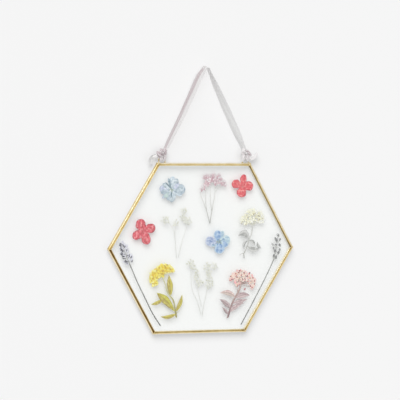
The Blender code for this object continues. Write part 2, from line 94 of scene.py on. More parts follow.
def turnedOutward(points, quads, tris):
    # the faces are turned round where the volume they enclose comes out negative
    halves = np.concatenate([quads[:, [0, 1, 2]], quads[:, [0, 2, 3]], tris]).astype(int)
    a, b, c = (points[halves[:, k]] for k in range(3))
    if np.einsum("ij,ij->", a - points.mean(0), np.cross(b - a, c - a)) < 0:
        return quads[:, ::-1], tris[:, ::-1]
    return quads, tris


def around(count):
    # angles once round, as one row
    return np.linspace(0, 2 * math.pi, count, endpoint=False)[None, :]


def directions(angles):
    return np.stack([np.cos(angles), np.sin(angles)], axis=1)


def sidesOf(heading):
    # a quarter turn to the left of each heading in the hexagon's plane
    return np.stack([-heading[:, 1], heading[:, 0]], axis=1)


def addGrid(piece, grid, surface, slot=0, ring=False, caps=True):
    # grid[row, column] closed round its columns; rows end in poles, or close in a ring
    rows, columns = grid.shape[:2]
    index = np.arange(rows * columns).reshape(rows, columns)
    after = np.roll(index, -1, axis=1)
    points, marks = grid.reshape(-1, 3), surface.reshape(-1, 3)
    tris = noTris
    if ring:
        up, upAfter = np.roll(index, -1, axis=0), np.roll(after, -1, axis=0)
        quads = np.stack([index, up, upAfter, after], axis=-1).reshape(-1, 4)
    else:
        quads = np.stack([index[:-1], index[1:], after[1:], after[:-1]], axis=-1).reshape(-1, 4)
        if caps:
            first, last = len(points), len(points) + 1
            points = np.vstack([points, grid[0].mean(0), grid[-1].mean(0)])
            marks = np.vstack([marks, surface[0].mean(0), surface[-1].mean(0)])
            tris = np.concatenate([
                np.stack([index[0], after[0], np.full(columns, first)], axis=-1),
                np.stack([after[-1], index[-1], np.full(columns, last)], axis=-1)])
    addFaces(piece, points, marks, *turnedOutward(points, quads, tris), slot)


def finishPiece(name, piece, materials, replaced, sharpAngle=None):
    # millimetres from the hexagon's middle become metres in the shared frame
    points = np.concatenate(piece["points"])
    points = (points + np.array([0, 0, middleHeight])) * 0.001
    quads, tris = np.concatenate(piece["quads"]), np.concatenate(piece["tris"])
    mesh = bpy.data.meshes.new(name)
    mesh.from_pydata(points.tolist(), [], quads.tolist() + tris.tolist())
    slots = np.concatenate(piece["quadSlots"] + piece["triSlots"]).astype(np.int32)
    mesh.polygons.foreach_set("material_index", slots)
    mesh.polygons.foreach_set("use_smooth", np.ones(len(slots), bool))
    marks = mesh.attributes.new("surface", "FLOAT_VECTOR", "POINT")
    marks.data.foreach_set("vector", np.concatenate(piece["surface"]).astype(np.float32).ravel())
    if sharpAngle:
        mesh.set_sharp_from_angle(angle=math.radians(sharpAngle))
    for material in materials:
        mesh.materials.append(material)
    mesh.update()
    made = bpy.data.objects.new(name, mesh)
    bpy.context.collection.objects.link(made)
    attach(made, "root")
    if replaced:
        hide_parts(*replaced)
    return made


def curveThrough(points, count):
    # cubic from point to point; the slope at a point follows its two neighbours
    points = np.array(points, float)
    reach = np.r_[0, np.cumsum(np.linalg.norm(np.diff(points, axis=0), axis=1))]
    slope = np.gradient(points, reach, axis=0)
    t = np.linspace(0, reach[-1], count)
    k = np.clip(np.searchsorted(reach, t, side="right") - 1, 0, len(points) - 2)
    span = (reach[k + 1] - reach[k])[:, None]
    s = (t - reach[k])[:, None] / span
    return ((2 * s**3 - 3 * s**2 + 1) * points[k] + (s**3 - 2 * s**2 + s) * span * slope[k]
            + (3 * s**2 - 2 * s**3) * points[k + 1] + (s**3 - s**2) * span * slope[k + 1])


def easeBetween(values, t):
    # smooth steps between evenly spaced values
    values = np.array(values, float)
    place = np.clip(np.asarray(t) * (len(values) - 1), 0, len(values) - 1.000001)
    k = place.astype(int)
    s = place - k
    s = s * s * (3 - 2 * s)
    return values[k] * (1 - s) + values[k + 1] * s


def headings(path):
    step = np.gradient(path, axis=0)
    return step / np.linalg.norm(step, axis=1, keepdims=True)


petalRelief = {"midrib": 0.05, "midribWidth": 0.08, "veins": 0.012}


def addPetal(piece, base, tip, width, widest=0.6, bend=0.0, fullness=0.62, depth=0.0, slot=0,
             tone=0.5, frill=0.05, thick=0.26, crumple=0.07, seed=0, rows=30, columns=20):
    # along t from base to tip and round phi: half width is sin(pi t^p)^fullness with waves at
    # the margin, depth is a lens sin(phi), with a midrib, side veins and a slow crumple
    rng = np.random.default_rng(seed)
    a, b, c, d = rng.uniform(0, 6.28, 4)
    base, tip = np.array(base, float), np.array(tip, float)
    along = tip - base
    middle = (base + tip) / 2 + np.array([-along[1], along[0]]) * bend * 2
    t = (0.5 - 0.5 * np.cos(np.linspace(0.04, math.pi - 0.04, rows)))[:, None]
    phi = around(columns)
    centre = (1 - t)**2 * base + 2 * t * (1 - t) * middle + t**2 * tip
    heading = (1 - t) * (middle - base) + t * (tip - middle)
    heading = heading / np.linalg.norm(heading, axis=1, keepdims=True)
    side = sidesOf(heading)
    spread = np.sin(math.pi * t ** (math.log(0.5) / math.log(widest))) ** fullness
    across = np.cos(phi) * np.ones_like(t)
    wave = 1 + frill * (np.sin(9 * t + a + 2 * across) + 0.6 * np.sin(19 * t + b - 3 * across))
    half = width / 2 * spread * wave
    flat = centre[:, None, :] + side[:, None, :] * (half * across)[:, :, None]
    lens = thick / 2 * (0.35 + 0.65 * spread) * np.sin(phi)
    rib = np.exp(-(across / petalRelief["midribWidth"])**2) * (1 - t) * (np.sin(phi) < 0)
    veins = petalRelief["veins"] * np.sin(22 * t - 16 * np.abs(across) + c) * spread
    rumple = crumple * np.sin(5 * t + d + 2.4 * across) * spread
    y = depth + lens - petalRelief["midrib"] * rib + veins + rumple
    grid = np.dstack([flat[:, :, 0], y, flat[:, :, 1]])
    surface = np.dstack([t * np.ones_like(phi), across, np.full_like(across, tone)])
    addGrid(piece, grid, surface, slot)


stalkShape = {"thick": 0.34, "ribs": 0.06, "columns": 10, "rowLength": 0.9}


def addStalk(piece, points, width, tipWidth, seed, slot=0):
    # an oval profile carried along the path, with slow swellings and lengthways ribs
    rng = np.random.default_rng(seed)
    a, b = rng.uniform(0, 6.28, 2)
    points = np.array(points, float)
    length = np.linalg.norm(np.diff(points, axis=0), axis=1).sum()
    rows, columns = max(8, int(length / stalkShape["rowLength"])), stalkShape["columns"]
    path = curveThrough(points, rows)
    heading = headings(path)
    side = sidesOf(heading)
    t = np.linspace(0, 1, rows)[:, None]
    phi = around(columns)
    half = (width + (tipWidth - width) * t) / 2
    half = half * (1 + 0.08 * np.sin(length * 0.55 * t + a) + 0.05 * np.sin(length * 1.3 * t + b))
    half = half * np.minimum(1, np.minimum(t, 1 - t) * rows / 1.5 + 0.25)
    ribbed = half * (1 + stalkShape["ribs"] * np.cos(4 * phi + a))
    deep = np.minimum(stalkShape["thick"] / 2, half * 0.9) * np.sin(phi)
    flat = path[:, None, :] + side[:, None, :] * (ribbed * np.cos(phi))[:, :, None]
    grid = np.dstack([flat[:, :, 0], deep, flat[:, :, 1]])
    surface = np.dstack([t * np.ones_like(phi), np.cos(phi) * np.ones_like(t),
                         np.full((rows, columns), 0.5)])
    addGrid(piece, grid, surface, slot)


def addStalkPiece(name, node, stalks, finish):
    # each stalk: points, width at its start, width at its end, seed
    piece = startPiece()
    for points, width, tipWidth, seed in stalks:
        addStalk(piece, points, width, tipWidth, seed)
    finishPiece(name, piece, [finish], [node])


def addThreads(piece, starts, ends, width, depths, bow, slot, seed, rows=6):
    # many fine threads at once, half as wide at the end, each bowed to one side as sin(pi t)
    rng = np.random.default_rng(seed)
    starts, ends = np.array(starts, float), np.array(ends, float)
    count = len(starts)
    along = ends - starts
    sideways = sidesOf(along)
    bows = rng.uniform(-bow, bow, count)
    t = np.linspace(0, 1, rows)
    path = (starts[:, None, :] + along[:, None, :] * t[None, :, None]
            + sideways[:, None, :] * (bows[:, None] * np.sin(math.pi * t)[None, :])[:, :, None])
    unit = sideways / np.linalg.norm(sideways, axis=1, keepdims=True)
    phi = around(4)[0] + math.pi / 4
    half = width / 2 * (1 - t / 2)
    half = half * np.minimum(1, np.minimum(t, 1 - t) * 8 + 0.3)
    flat = (path[:, :, None, :]
            + unit[:, None, None, :] * (half[:, None] * np.cos(phi)[None, :])[None, :, :, None])
    y = np.asarray(depths)[:, None, None] + (half[:, None] * np.sin(phi)[None, :])[None]
    points = np.concatenate([flat[..., :1], y[..., None] * np.ones_like(flat[..., :1]),
                             flat[..., 1:]], axis=-1)
    index = np.arange(rows * 4).reshape(rows, 4)
    after = np.roll(index, -1, axis=1)
    quads = np.stack([index[:-1], index[1:], after[1:], after[:-1]], axis=-1).reshape(-1, 4)
    quads = np.concatenate([quads, [[3, 2, 1, 0]], [index[-1]]])
    quads, tris = turnedOutward(points[0].reshape(-1, 3), quads, noTris)
    quads = (quads[None] + (np.arange(count) * rows * 4)[:, None, None]).reshape(-1, 4)
    tones = rng.uniform(0, 1, count)
    marks = np.zeros((count, rows, 4, 3))
    marks[..., 0] = t[None, :, None]
    marks[..., 2] = tones[:, None, None]
    addFaces(piece, points.reshape(-1, 3), marks.reshape(-1, 3), quads, tris, slot)


def flowerShape(perPetal=3):
    # one tiny flower of unit radius: the rim is 0.58 + 0.42 |cos(2.5 angle)|^0.7, its rings
    # rise towards the rim like a shallow cup, and a flat back closes it
    petals, cup = 5, 0.35
    angle = around(petals * perPetal)
    rim = 0.58 + 0.42 * np.abs(np.cos(petals * angle / 2)) ** 0.7
    reach = np.array([0.12, 0.5, 0.86, 1.0, 0.6])[:, None]
    y = np.array([0.02, -0.10, -0.16, -0.02, 0.14])[:, None] * (1 + 0 * angle)
    y = y - cup * 0.12 * reach**2 * np.abs(np.cos(petals * angle / 2))
    radius = reach * (1 + (rim - 1) * np.minimum(1, reach * 1.2))
    grid = np.dstack([radius * np.cos(angle), y, radius * np.sin(angle)])
    surface = np.dstack([reach * np.ones_like(angle), rim * np.ones_like(reach),
                         np.zeros_like(y)])
    shape = startPiece()
    addGrid(shape, grid, surface)
    return shape


def budShape(long=1.0):
    # a ribbed egg of unit radius: sin(t) along its length, with ribs of cos(4 phi)
    rows, columns = 6, 8
    t = np.linspace(0.08, 0.92, rows)[:, None] * math.pi
    phi = around(columns)
    radius = np.sin(t) * (1 + 0.08 * np.cos(4 * phi))
    grid = np.dstack([-long * np.cos(t) * np.ones_like(phi), radius * np.sin(phi),
                      radius * np.cos(phi)])
    surface = np.dstack([t / math.pi * np.ones_like(phi), np.cos(phi) * np.ones_like(t),
                         np.zeros_like(radius)])
    shape = startPiece()
    addGrid(shape, grid, surface)
    return shape


def scatter(piece, shape, places, depths, sizes, turns, tones, slot=0, squash=0.5):
    # copies of one small shape, each turned in the plane, scaled and set at its place
    base = np.concatenate(shape["points"])
    marks = np.concatenate(shape["surface"])
    places = np.array(places, float)
    count = len(places)
    sizes, turns = np.broadcast_to(sizes, count), np.broadcast_to(turns, count)
    depths, tones = np.broadcast_to(depths, count), np.broadcast_to(tones, count)
    c, s = np.cos(turns)[:, None], np.sin(turns)[:, None]
    x = places[:, :1] + sizes[:, None] * (c * base[None, :, 0] - s * base[None, :, 2])
    z = places[:, 1:2] + sizes[:, None] * (s * base[None, :, 0] + c * base[None, :, 2])
    y = depths[:, None] + np.minimum(sizes, 1.4)[:, None] * squash * base[None, :, 1]
    points = np.stack([x, y, z], axis=-1).reshape(-1, 3)
    marks = np.tile(marks, (count, 1, 1))
    marks[:, :, 2] = tones[:, None]
    steps = (np.arange(count) * len(base))[:, None, None]
    quads = (np.concatenate(shape["quads"])[None] + steps).reshape(-1, 4)
    tris = (np.concatenate(shape["tris"])[None] + steps).reshape(-1, 3)
    addFaces(piece, points, marks.reshape(-1, 3), quads, tris, slot)


def spreadInside(outline, pitch, seed):
    # a jittered honeycomb of points, kept where they fall inside the outline; also each
    # point's distance to the outline
    rng = np.random.default_rng(seed)
    jitter = 0.35                         # of the pitch
    outline = np.array(outline, float)
    low, high = outline.min(0), outline.max(0)
    columns, rows = np.meshgrid(np.arange(low[0], high[0] + pitch, pitch),
                                np.arange(low[1], high[1] + pitch, pitch * 0.866))
    columns = columns + pitch / 2 * (np.arange(columns.shape[0]) % 2)[:, None]
    spots = np.stack([columns.ravel(), rows.ravel()], axis=1)
    spots = spots + rng.uniform(-jitter, jitter, spots.shape) * pitch
    a, b = outline, np.roll(outline, -1, axis=0)
    above = (a[None, :, 1] > spots[:, None, 1]) != (b[None, :, 1] > spots[:, None, 1])
    crossing = (b[None, :, 0] - a[None, :, 0]) * (spots[:, None, 1] - a[None, :, 1]) / (
        b[None, :, 1] - a[None, :, 1] + 1e-9) + a[None, :, 0]
    inside = (above & (spots[:, None, 0] < crossing)).sum(axis=1) % 2 == 1
    spots = spots[inside]
    edge = b - a
    share = np.clip(np.einsum("ijk,jk->ij", spots[:, None] - a[None], edge)
                    / (edge**2).sum(1), 0, 1)
    nearest = np.linalg.norm(spots[:, None] - a[None] - share[..., None] * edge[None], axis=2)
    return spots, nearest.min(axis=1)


print("mesh tools ready")


def screenColour(colour):
    # from screen values of 0 to 255 to the linear ones that a shader takes
    c = np.array(colour) / 255
    c = np.where(c <= 0.04045, c / 12.92, ((c + 0.055) / 1.055) ** 2.4)
    return (*(float(k) for k in c), 1.0)


def pressedColours(*colours):
    # the front pane adds a little of its own reflection, so what lies behind it is deeper
    return [(*(min(max((k * 1.09 - 0.05) / 0.93, 0.004), 0.97) for k in screenColour(c)[:3]),
             1.0) for c in colours]


def addNode(tree, kind, inputs=None, **settings):
    made = tree.nodes.new(kind)
    for key, value in settings.items():
        setattr(made, key, value)
    for socket, value in (inputs or {}).items():
        if isinstance(value, bpy.types.NodeSocket):
            tree.links.new(value, made.inputs[socket])
        else:
            made.inputs[socket].default_value = value
    return made


def startFinish(name, roughness, metallic=0.0):
    # the marks and the place on the piece are what every finish is worked out from
    material = bpy.data.materials.new(name)
    material.use_nodes = True
    tree = material.node_tree
    shader = tree.nodes["Principled BSDF"]
    shader.inputs["Roughness"].default_value = roughness
    shader.inputs["Metallic"].default_value = metallic
    marks = addNode(tree, "ShaderNodeAttribute", attribute_name="surface")
    place = addNode(tree, "ShaderNodeTexCoord").outputs["Object"]
    parts = addNode(tree, "ShaderNodeSeparateXYZ", {0: marks.outputs["Vector"]}).outputs
    return material, tree, shader, marks.outputs["Vector"], place, parts


def calculate(tree, operation, *values):
    return addNode(tree, "ShaderNodeMath", dict(enumerate(values)),
                   operation=operation).outputs[0]


def mixed(tree, amount, first, second):
    return addNode(tree, "ShaderNodeMix", {0: amount, 6: first, 7: second},
                   data_type="RGBA").outputs[2]


def stepped(tree, value, low, high, out0=0.0, out1=1.0):
    return addNode(tree, "ShaderNodeMapRange", {0: value, 1: low, 2: high, 3: out0, 4: out1},
                   interpolation_type="SMOOTHSTEP").outputs[0]


def colourRamp(tree, value, stops):
    made = addNode(tree, "ShaderNodeValToRGB", {0: value})
    ramp = made.color_ramp
    for k, (position, colour) in enumerate(stops):
        stop = ramp.elements[k] if k < 2 else ramp.elements.new(position)
        stop.position, stop.color = position, colour
    return made.outputs[0]


def noise(tree, vector, scale, detail=3.0, rough=0.55, stretch=None, shift=(0, 0, 0)):
    if stretch:
        vector = addNode(tree, "ShaderNodeMapping", {0: vector, 1: shift, 3: stretch}).outputs[0]
    return addNode(tree, "ShaderNodeTexNoise", {"Vector": vector, "Scale": scale,
                                                "Detail": detail, "Roughness": rough}).outputs[0]


def applyLook(tree, shader, colour, height, strength, distance):
    tree.links.new(colour, shader.inputs["Base Color"])
    bump = addNode(tree, "ShaderNodeBump", {"Height": height, "Strength": strength,
                                            "Distance": distance})
    tree.links.new(bump.outputs[0], shader.inputs["Normal"])


def petalFinish(name, body, streak, edge, heart, pale=None, deepen=0.7, edgeFrom=0.6,
                heartEnd=0.3, patchSize=430, patchShare=0.8):
    # streaks run lengthways, blotches lie over them, the margin and the root are tinted
    body, streak, edge, heart, pale = pressedColours(body, streak, edge, heart, pale or edge)
    material, tree, shader, marks, place, parts = startFinish(name, 0.72)
    fibres = noise(tree, marks, 1.0, 4, 0.6, stretch=(1.7, 3.0, 23.0))
    blotches = noise(tree, place, patchSize, 3, 0.6)
    bruises = noise(tree, place, 1.0, 3, 0.6, stretch=(patchSize * 1.2,) * 3, shift=(3, 7, 1))
    dark = calculate(tree, "MAXIMUM", stepped(tree, fibres, 0.5, 0.6, 0, deepen),
                     stepped(tree, bruises, 0.53, 0.6, 0, deepen))
    colour = mixed(tree, dark, body, streak)
    colour = mixed(tree, stepped(tree, blotches, 0.52, 0.59, 0, patchShare), colour, pale)
    rim = calculate(tree, "ABSOLUTE", parts["Y"])
    rim = calculate(tree, "MAXIMUM", rim, stepped(tree, parts["X"], 0.72, 1.0))
    colour = mixed(tree, stepped(tree, rim, edgeFrom, 1.0, 0, 0.85), colour, edge)
    colour = mixed(tree, stepped(tree, parts["X"], 0.05, heartEnd, 0.9, 0), colour, heart)
    applyLook(tree, shader, colour, calculate(tree, "ADD", fibres, blotches), 0.35, 0.00012)
    return material


def crowdFinish(name, low, body, high, heart, heartEnd=0.45, fleck=0.4):
    # each tiny flower takes its colour from its own tone, with a darker eye
    low, body, high, heart = pressedColours(low, body, high, heart)
    material, tree, shader, _, place, parts = startFinish(name, 0.75)
    colour = colourRamp(tree, parts["Z"], [(0.12, low), (0.9, high), (0.5, body)])
    grain = noise(tree, place, 900, 3, 0.6)
    colour = mixed(tree, stepped(tree, grain, 0.45, 0.7, 0, fleck), colour, heart)
    colour = mixed(tree, stepped(tree, parts["X"], 0.1, heartEnd, 0.75, 0), colour, heart)
    applyLook(tree, shader, colour, grain, 0.35, 0.0001)
    return material


def leafFinish(name, lower, body, upper, rib, spots, spotShare=0.6):
    # one half of the blade can differ from the other; veins slant away from the midrib
    lower, body, upper, rib, spots = pressedColours(lower, body, upper, rib, spots)
    material, tree, shader, _, place, parts = startFinish(name, 0.7)
    halves = stepped(tree, parts["Y"], -1.0, 1.0)
    colour = colourRamp(tree, halves, [(0.15, lower), (0.85, upper), (0.5, body)])
    away = calculate(tree, "ABSOLUTE", parts["Y"])
    slant = calculate(tree, "SUBTRACT", calculate(tree, "MULTIPLY", parts["X"], 60.0),
                      calculate(tree, "MULTIPLY", away, 14.0))
    veins = calculate(tree, "SINE", slant)
    blotches = noise(tree, place, 380, 4, 0.62)
    colour = mixed(tree, stepped(tree, blotches, 0.5, 0.58, 0, spotShare), colour, spots)
    colour = mixed(tree, stepped(tree, away, 0.68, 1.0, 0, 0.5), colour, rib)
    colour = mixed(tree, stepped(tree, veins, 0.35, 1.0, 0, 0.28), colour, rib)
    colour = mixed(tree, stepped(tree, away, 0.22, 0.0, 0, 0.8), colour, rib)
    applyLook(tree, shader, colour, calculate(tree, "ADD", veins, blotches), 0.3, 0.0001)
    return material


def stalkFinish(name, low, high, streak):
    # colour changes from the cut end upward, with dark lengthways fibres
    low, high, streak = pressedColours(low, high, streak)
    material, tree, shader, marks, place, parts = startFinish(name, 0.75)
    colour = colourRamp(tree, parts["X"], [(0.05, low), (0.8, high)])
    fibres = noise(tree, marks, 1.0, 4, 0.65, stretch=(24.0, 2.4, 9.0))
    grain = noise(tree, place, 700, 3)
    colour = mixed(tree, stepped(tree, fibres, 0.42, 0.66, 0, 0.7), colour, streak)
    applyLook(tree, shader, colour, calculate(tree, "ADD", fibres, grain), 0.4, 0.0001)
    return material


print("material tools ready")


# polishedHighlight is pale brass that also paints the highlights on the edges; patinaAndShade is
# the dark of patina and of painted reflection and painted shade
brassLook = {
    "polishedHighlight": (255, 247, 226), "gold": (226, 200, 132), "patinaAndShade": (108, 76, 37),
    "brightRoughness": 0.26, "darkRoughness": 0.5,
    "paintedChannelStreaks": (238, 226, 196), "paintedChannelLight": (250, 244, 226),
}


def makeBrass(look):
    # the third mark is how dark the metal is: 0 bright, 0.5 plain gold, 1 dark. It holds patina,
    # with painted highlight at the bright end and painted reflection and painted shade at the dark
    # end
    material, tree, shader, marks, place, parts = startFinish("agedBrass", 0.3, 1.0)
    drawn = noise(tree, marks, 1.0, 3, 0.6, stretch=(0.35, 26.0, 0.0))
    patches = noise(tree, place, 140, 4, 0.6)
    specks = noise(tree, place, 1500, 2, 0.5)
    brassDarkness = calculate(tree, "ADD", parts["Z"], stepped(tree, patches, 0.35, 0.7, -0.06, 0.07))
    brassDarkness = calculate(tree, "ADD", brassDarkness, stepped(tree, drawn, 0.35, 0.7, -0.05, 0.05))
    colour = colourRamp(tree, brassDarkness, [(0.0, screenColour(look["polishedHighlight"])),
                                     (1.0, screenColour(look["patinaAndShade"])),
                                     (0.5, screenColour(look["gold"]))])
    dull = stepped(tree, brassDarkness, 0.2, 1.0, look["brightRoughness"], look["darkRoughness"])
    dull = calculate(tree, "ADD", dull, stepped(tree, specks, 0.4, 0.7, 0.0, 0.08))
    tree.links.new(dull, shader.inputs["Roughness"])
    applyLook(tree, shader, colour, calculate(tree, "ADD", drawn, specks), 0.12, 0.00005)
    return material


def makePaintedChannelLight(look):
    # the inside of the channel, pale and not metal: painted light that stands in for the light the
    # brass and glass throw round inside it, with streaks along it
    material, tree, shader, marks, place, _ = startFinish("channelPaintedLight", 0.7)
    streakNoise = noise(tree, marks, 1.0, 3, 0.6, stretch=(0.5, 8.0, 0.0))
    grain = noise(tree, place, 600, 3, 0.6)
    colour = mixed(tree, stepped(tree, streakNoise, 0.3, 0.7), screenColour(look["paintedChannelStreaks"]),
                   screenColour(look["paintedChannelLight"]))
    applyLook(tree, shader, colour, calculate(tree, "ADD", streakNoise, grain), 0.2, 0.00005)
    return material


brass, paintedChannelLight = makeBrass(brassLook), makePaintedChannelLight(brassLook)

railShape = {
    "faceWidth": 3.0, "halfDepth": 2.3, "sheet": 0.5, "cornerRadius": 0.8, "lipRadius": 0.24,
    "hollow": 0.20,                       # how far the face dips between its two beads
    "jointGap": 0.3, "rows": 121,
    "sharpAngle": 50,
}
# each rail: node, turn in degrees, and how dark the outer edge, the outer bead, the hollow, the
# inner slope and the inner lip are: patina, with painted highlight where low and painted
# reflection of the dark room and painted shade inside the channel where high, set rail by rail
rails = {
    "railTop": ("rail_top", 0, (0.05, 0.12, 0.62, 0.45, 0.15)),
    "railUpperRight": ("rail_upper_right", 60, (0.0, 0.1, 0.45, 0.85, 0.9)),
    "railLowerRight": ("rail_lower_right", 120, (0.1, 0.35, 0.72, 0.6, 0.05)),
    "railBottom": ("rail_bottom", 180, (0.1, 0.35, 0.78, 0.7, 0.0)),
    "railLowerLeft": ("rail_lower_left", 240, (0.0, 0.9, 1.05, 0.78, 0.0)),
    "railUpperLeft": ("rail_upper_left", 300, (0.3, 0.35, 0.66, 0.5, 0.1)),
}


def railSection(shape):
    # outer and inner outline of the rolled channel as (inward, depth), from the front lip
    # round to the back one: half-round lips, quarter-round corners, a face that dips as
    # sin^2 between its beads in front and lies flat behind, and an outer wall bowed as w^2
    width, half, sheet = shape["faceWidth"], shape["halfDepth"], shape["sheet"]
    corner, lip = shape["cornerRadius"], shape["lipRadius"]
    front = np.array([1, -1])

    def pairs(inward, depth):
        return np.stack(np.broadcast_arrays(inward, depth), axis=1)

    def lipArc(sign):
        turn = np.radians(np.linspace(12, 90, 5))
        return pairs(width - lip + lip * np.cos(turn),
                     half - sheet / 2 + sign * sheet / 2 * np.sin(turn))

    def cornerArc(radius):
        turn = np.radians(np.linspace(0, 90, 9))
        return pairs(corner - radius * np.sin(turn), half - corner + radius * np.cos(turn))

    def face(start, stop, count, depth, dip=0):
        w = np.linspace(start, stop, count)[1:]
        return pairs(width - lip + (corner - width + lip) * w,
                     depth - dip * np.sin(math.pi * w) ** 2)

    def outline(lipLine, cornerLine, wall, depth, dip):
        return np.concatenate([
            lipLine * front, face(0, 1, 15, depth, dip) * front, cornerLine[1:] * front, wall,
            cornerLine[-2::-1], face(1, 0, 7, depth), lipLine[-2::-1]])

    w = np.linspace(-1, 1, 9)[1:]
    outer = outline(lipArc(1), cornerArc(corner), pairs(0.04 * (w**2 - 1), (half - corner) * w),
                    half, shape["hollow"])
    inner = outline(lipArc(-1), cornerArc(corner - sheet), pairs(sheet, (half - corner) * w),
                    half - sheet, 0)
    return outer, inner


def addRail(name, node, turn, patinaAndShade, shape):
    # the section is carried along one side of the hexagon and cut square to the mitres:
    # a point as far inward as w ends at (apothem - w) * tan 30
    outer, inner = railSection(shape)
    section = np.concatenate([outer, inner[::-1]])
    along = np.linspace(-1, 1, shape["rows"])[:, None]
    along = np.sign(along) * np.abs(along) ** 0.9
    reach = ((apothem - section[:, 0]) * math.tan(halfCorner)
             - shape["jointGap"] / 2 / math.cos(halfCorner))
    x = along * reach[None, :]
    waver = 0.02 * np.sin(9 * along + turn) + 0.012 * np.sin(31 * along + 2 * turn)
    z = apothem - section[None, :, 0] - waver * (1 - along**2)
    y = section[None, :, 1] + 0 * along
    a = math.radians(turn)
    grid = np.dstack([x * math.cos(a) + z * math.sin(a), y, -x * math.sin(a) + z * math.cos(a)])
    # darkness across the face from the outer side to the lip, more of it near the joints: patina
    # with painted highlight, painted reflection and painted shade
    face = section[:, 0] / shape["faceWidth"]
    brassDarkness = np.interp(face, (0.0, 0.28, 0.55, 0.8, 1.0), patinaAndShade)
    brassDarkness = np.where(section[:, 1] > 0, 0.5, brassDarkness)
    brassDarkness = brassDarkness[None, :] + 0.25 * np.abs(along) ** 14
    surface = np.dstack([x, face[None, :] + 0 * x, brassDarkness])
    piece = startPiece()
    addGrid(piece, grid, surface, caps=False)
    rows, columns = grid.shape[:2]
    column = np.arange(columns)
    # the faces inside the channel take the pale painted light
    insideChannel = (column >= len(outer)) & (column < columns - 1)
    piece["quadSlots"][0] = np.tile(insideChannel.astype(int), rows - 1)
    # the two ends close the channel, turned the way that the first face asks for
    k = np.arange(len(outer) - 1)
    startCap = np.stack([k, k + 1, columns - 2 - k, columns - 1 - k], axis=1)
    stopCap = startCap + (rows - 1) * columns
    first = piece["quads"][0][0].tolist()
    if (first.index(1) - first.index(0)) % 4 == 1:
        startCap = startCap[:, ::-1]
    else:
        stopCap = stopCap[:, ::-1]
    piece["quads"].append(np.concatenate([startCap, stopCap]))
    piece["quadSlots"].append(np.zeros(2 * len(k), int))
    rail = finishPiece(name, piece, [brass, paintedChannelLight], [node], shape["sharpAngle"])
    rail.visible_diffuse = False          # keeps the backdrop close behind from going dull
    return rail


for name, (node, turn, patinaAndShade) in rails.items():
    addRail(name, node, turn, patinaAndShade, railShape)
print("rails made")

seamShape = {"radius": 0.34, "proud": 0.06, "lump": 0.12, "flatness": 0.45, "seed": 40}


def addSolderSeams(shape):
    # a bead carried round the channel's outline in each mitre plane, its radius wavering
    outer, _ = railSection(railShape)
    piece = startPiece()
    path = curveThrough(outer[2:-2], 90)
    normal = sidesOf(headings(path))
    channelMiddle = np.array([1.8, 0])
    normal = normal * np.sign(((path - channelMiddle) * normal).sum(1))[:, None]
    t = np.linspace(0, 1, len(path))[:, None]
    phi = around(12)
    for k in range(6):
        rng = np.random.default_rng(shape["seed"] + k)
        a, b = rng.uniform(0, 6.28, 2)
        radius = shape["radius"] * (1 + shape["lump"] * np.sin(14 * t + a)
                                    + shape["lump"] * np.sin(37 * t + b))
        radius = radius * np.minimum(1, np.minimum(t, 1 - t) * 25 + 0.2)
        lift = radius * np.cos(phi) * shape["flatness"] + shape["proud"] - 0.1
        flat = path[:, None, :] + normal[:, None, :] * lift[:, :, None]
        sideways = radius * np.sin(phi)
        angle = math.radians(60 * k)
        outward = (apothem - flat[:, :, 0]) / math.cos(halfCorner)
        x = outward * math.cos(angle) - sideways * math.sin(angle)
        z = outward * math.sin(angle) + sideways * math.cos(angle)
        grid = np.dstack([x, flat[:, :, 1], z])
        brassDarkness = np.full_like(x, 0.42) + 0.2 * np.sin(9 * t + b)
        addGrid(piece, grid, np.dstack([t * 12 + 0 * x, np.cos(phi) + 0 * x, brassDarkness]))
    finishPiece("solderSeams", piece, [brass], [])


addSolderSeams(seamShape)

loopShape = {
    "offset": 45.0, "width": 6.5, "height": 4.2, "corner": 1.2, "straight": 1.2, "wire": 1.0,
    "foot": 0.95, "footHeight": 1.1,      # the solder at each leg
}


def addWireLoop(name, node, side, shape):
    # a round wire carried up, across and down, and a solder foot turned about each leg:
    # its radius falls from the foot to the wire as a quarter of a cosine
    piece = startPiece()
    half, corner = shape["width"] / 2, shape["corner"]
    x, foot, top = side * shape["offset"], apothem - 0.05, apothem + 0.3 + shape["height"]
    turns = np.radians(np.linspace(0, 90, 7))
    left = np.stack([x - half + corner - corner * np.cos(turns),
                     top - corner + corner * np.sin(turns)], axis=1)
    right = np.stack([2 * x - left[::-1, 0], left[::-1, 1]], axis=1)
    bend = foot + shape["straight"]
    path = curveThrough(np.vstack([[(x - half, foot), (x - half, bend)], left, right,
                                   [(x + half, bend), (x + half, foot)]]), 70)
    normal = sidesOf(headings(path))
    t = np.linspace(0, 1, len(path))[:, None]
    phi = around(16)
    radius = shape["wire"] / 2 * (1 + 0.03 * np.sin(30 * t))
    flat = path[:, None, :] + normal[:, None, :] * (radius * np.cos(phi))[:, :, None]
    grid = np.dstack([flat[:, :, 0], radius * np.sin(phi), flat[:, :, 1]])
    brassDarkness = 0.45 + 0.25 * np.cos(phi) * np.sin(math.pi * t)
    addGrid(piece, grid, np.dstack([t * 14 + 0 * phi, np.cos(phi) + 0 * t, brassDarkness]))
    for leg in (-1, 1):
        rise = np.linspace(0, 1, 9)[:, None]
        girth = shape["wire"] / 2 + (shape["foot"] - shape["wire"] / 2) * (
            1 - np.sin(rise * math.pi / 2))
        girth = girth * (1 + 0.07 * np.cos(3 * phi + leg))
        grid = np.dstack([x + leg * half + girth * np.cos(phi), girth * np.sin(phi) * 1.2,
                          apothem - 0.04 + shape["footHeight"] * rise + 0 * phi])
        addGrid(piece, grid, np.dstack([rise + 0 * phi, np.cos(phi) + 0 * rise,
                                        0.35 + 0 * girth]))
    finishPiece(name, piece, [brass], [node])


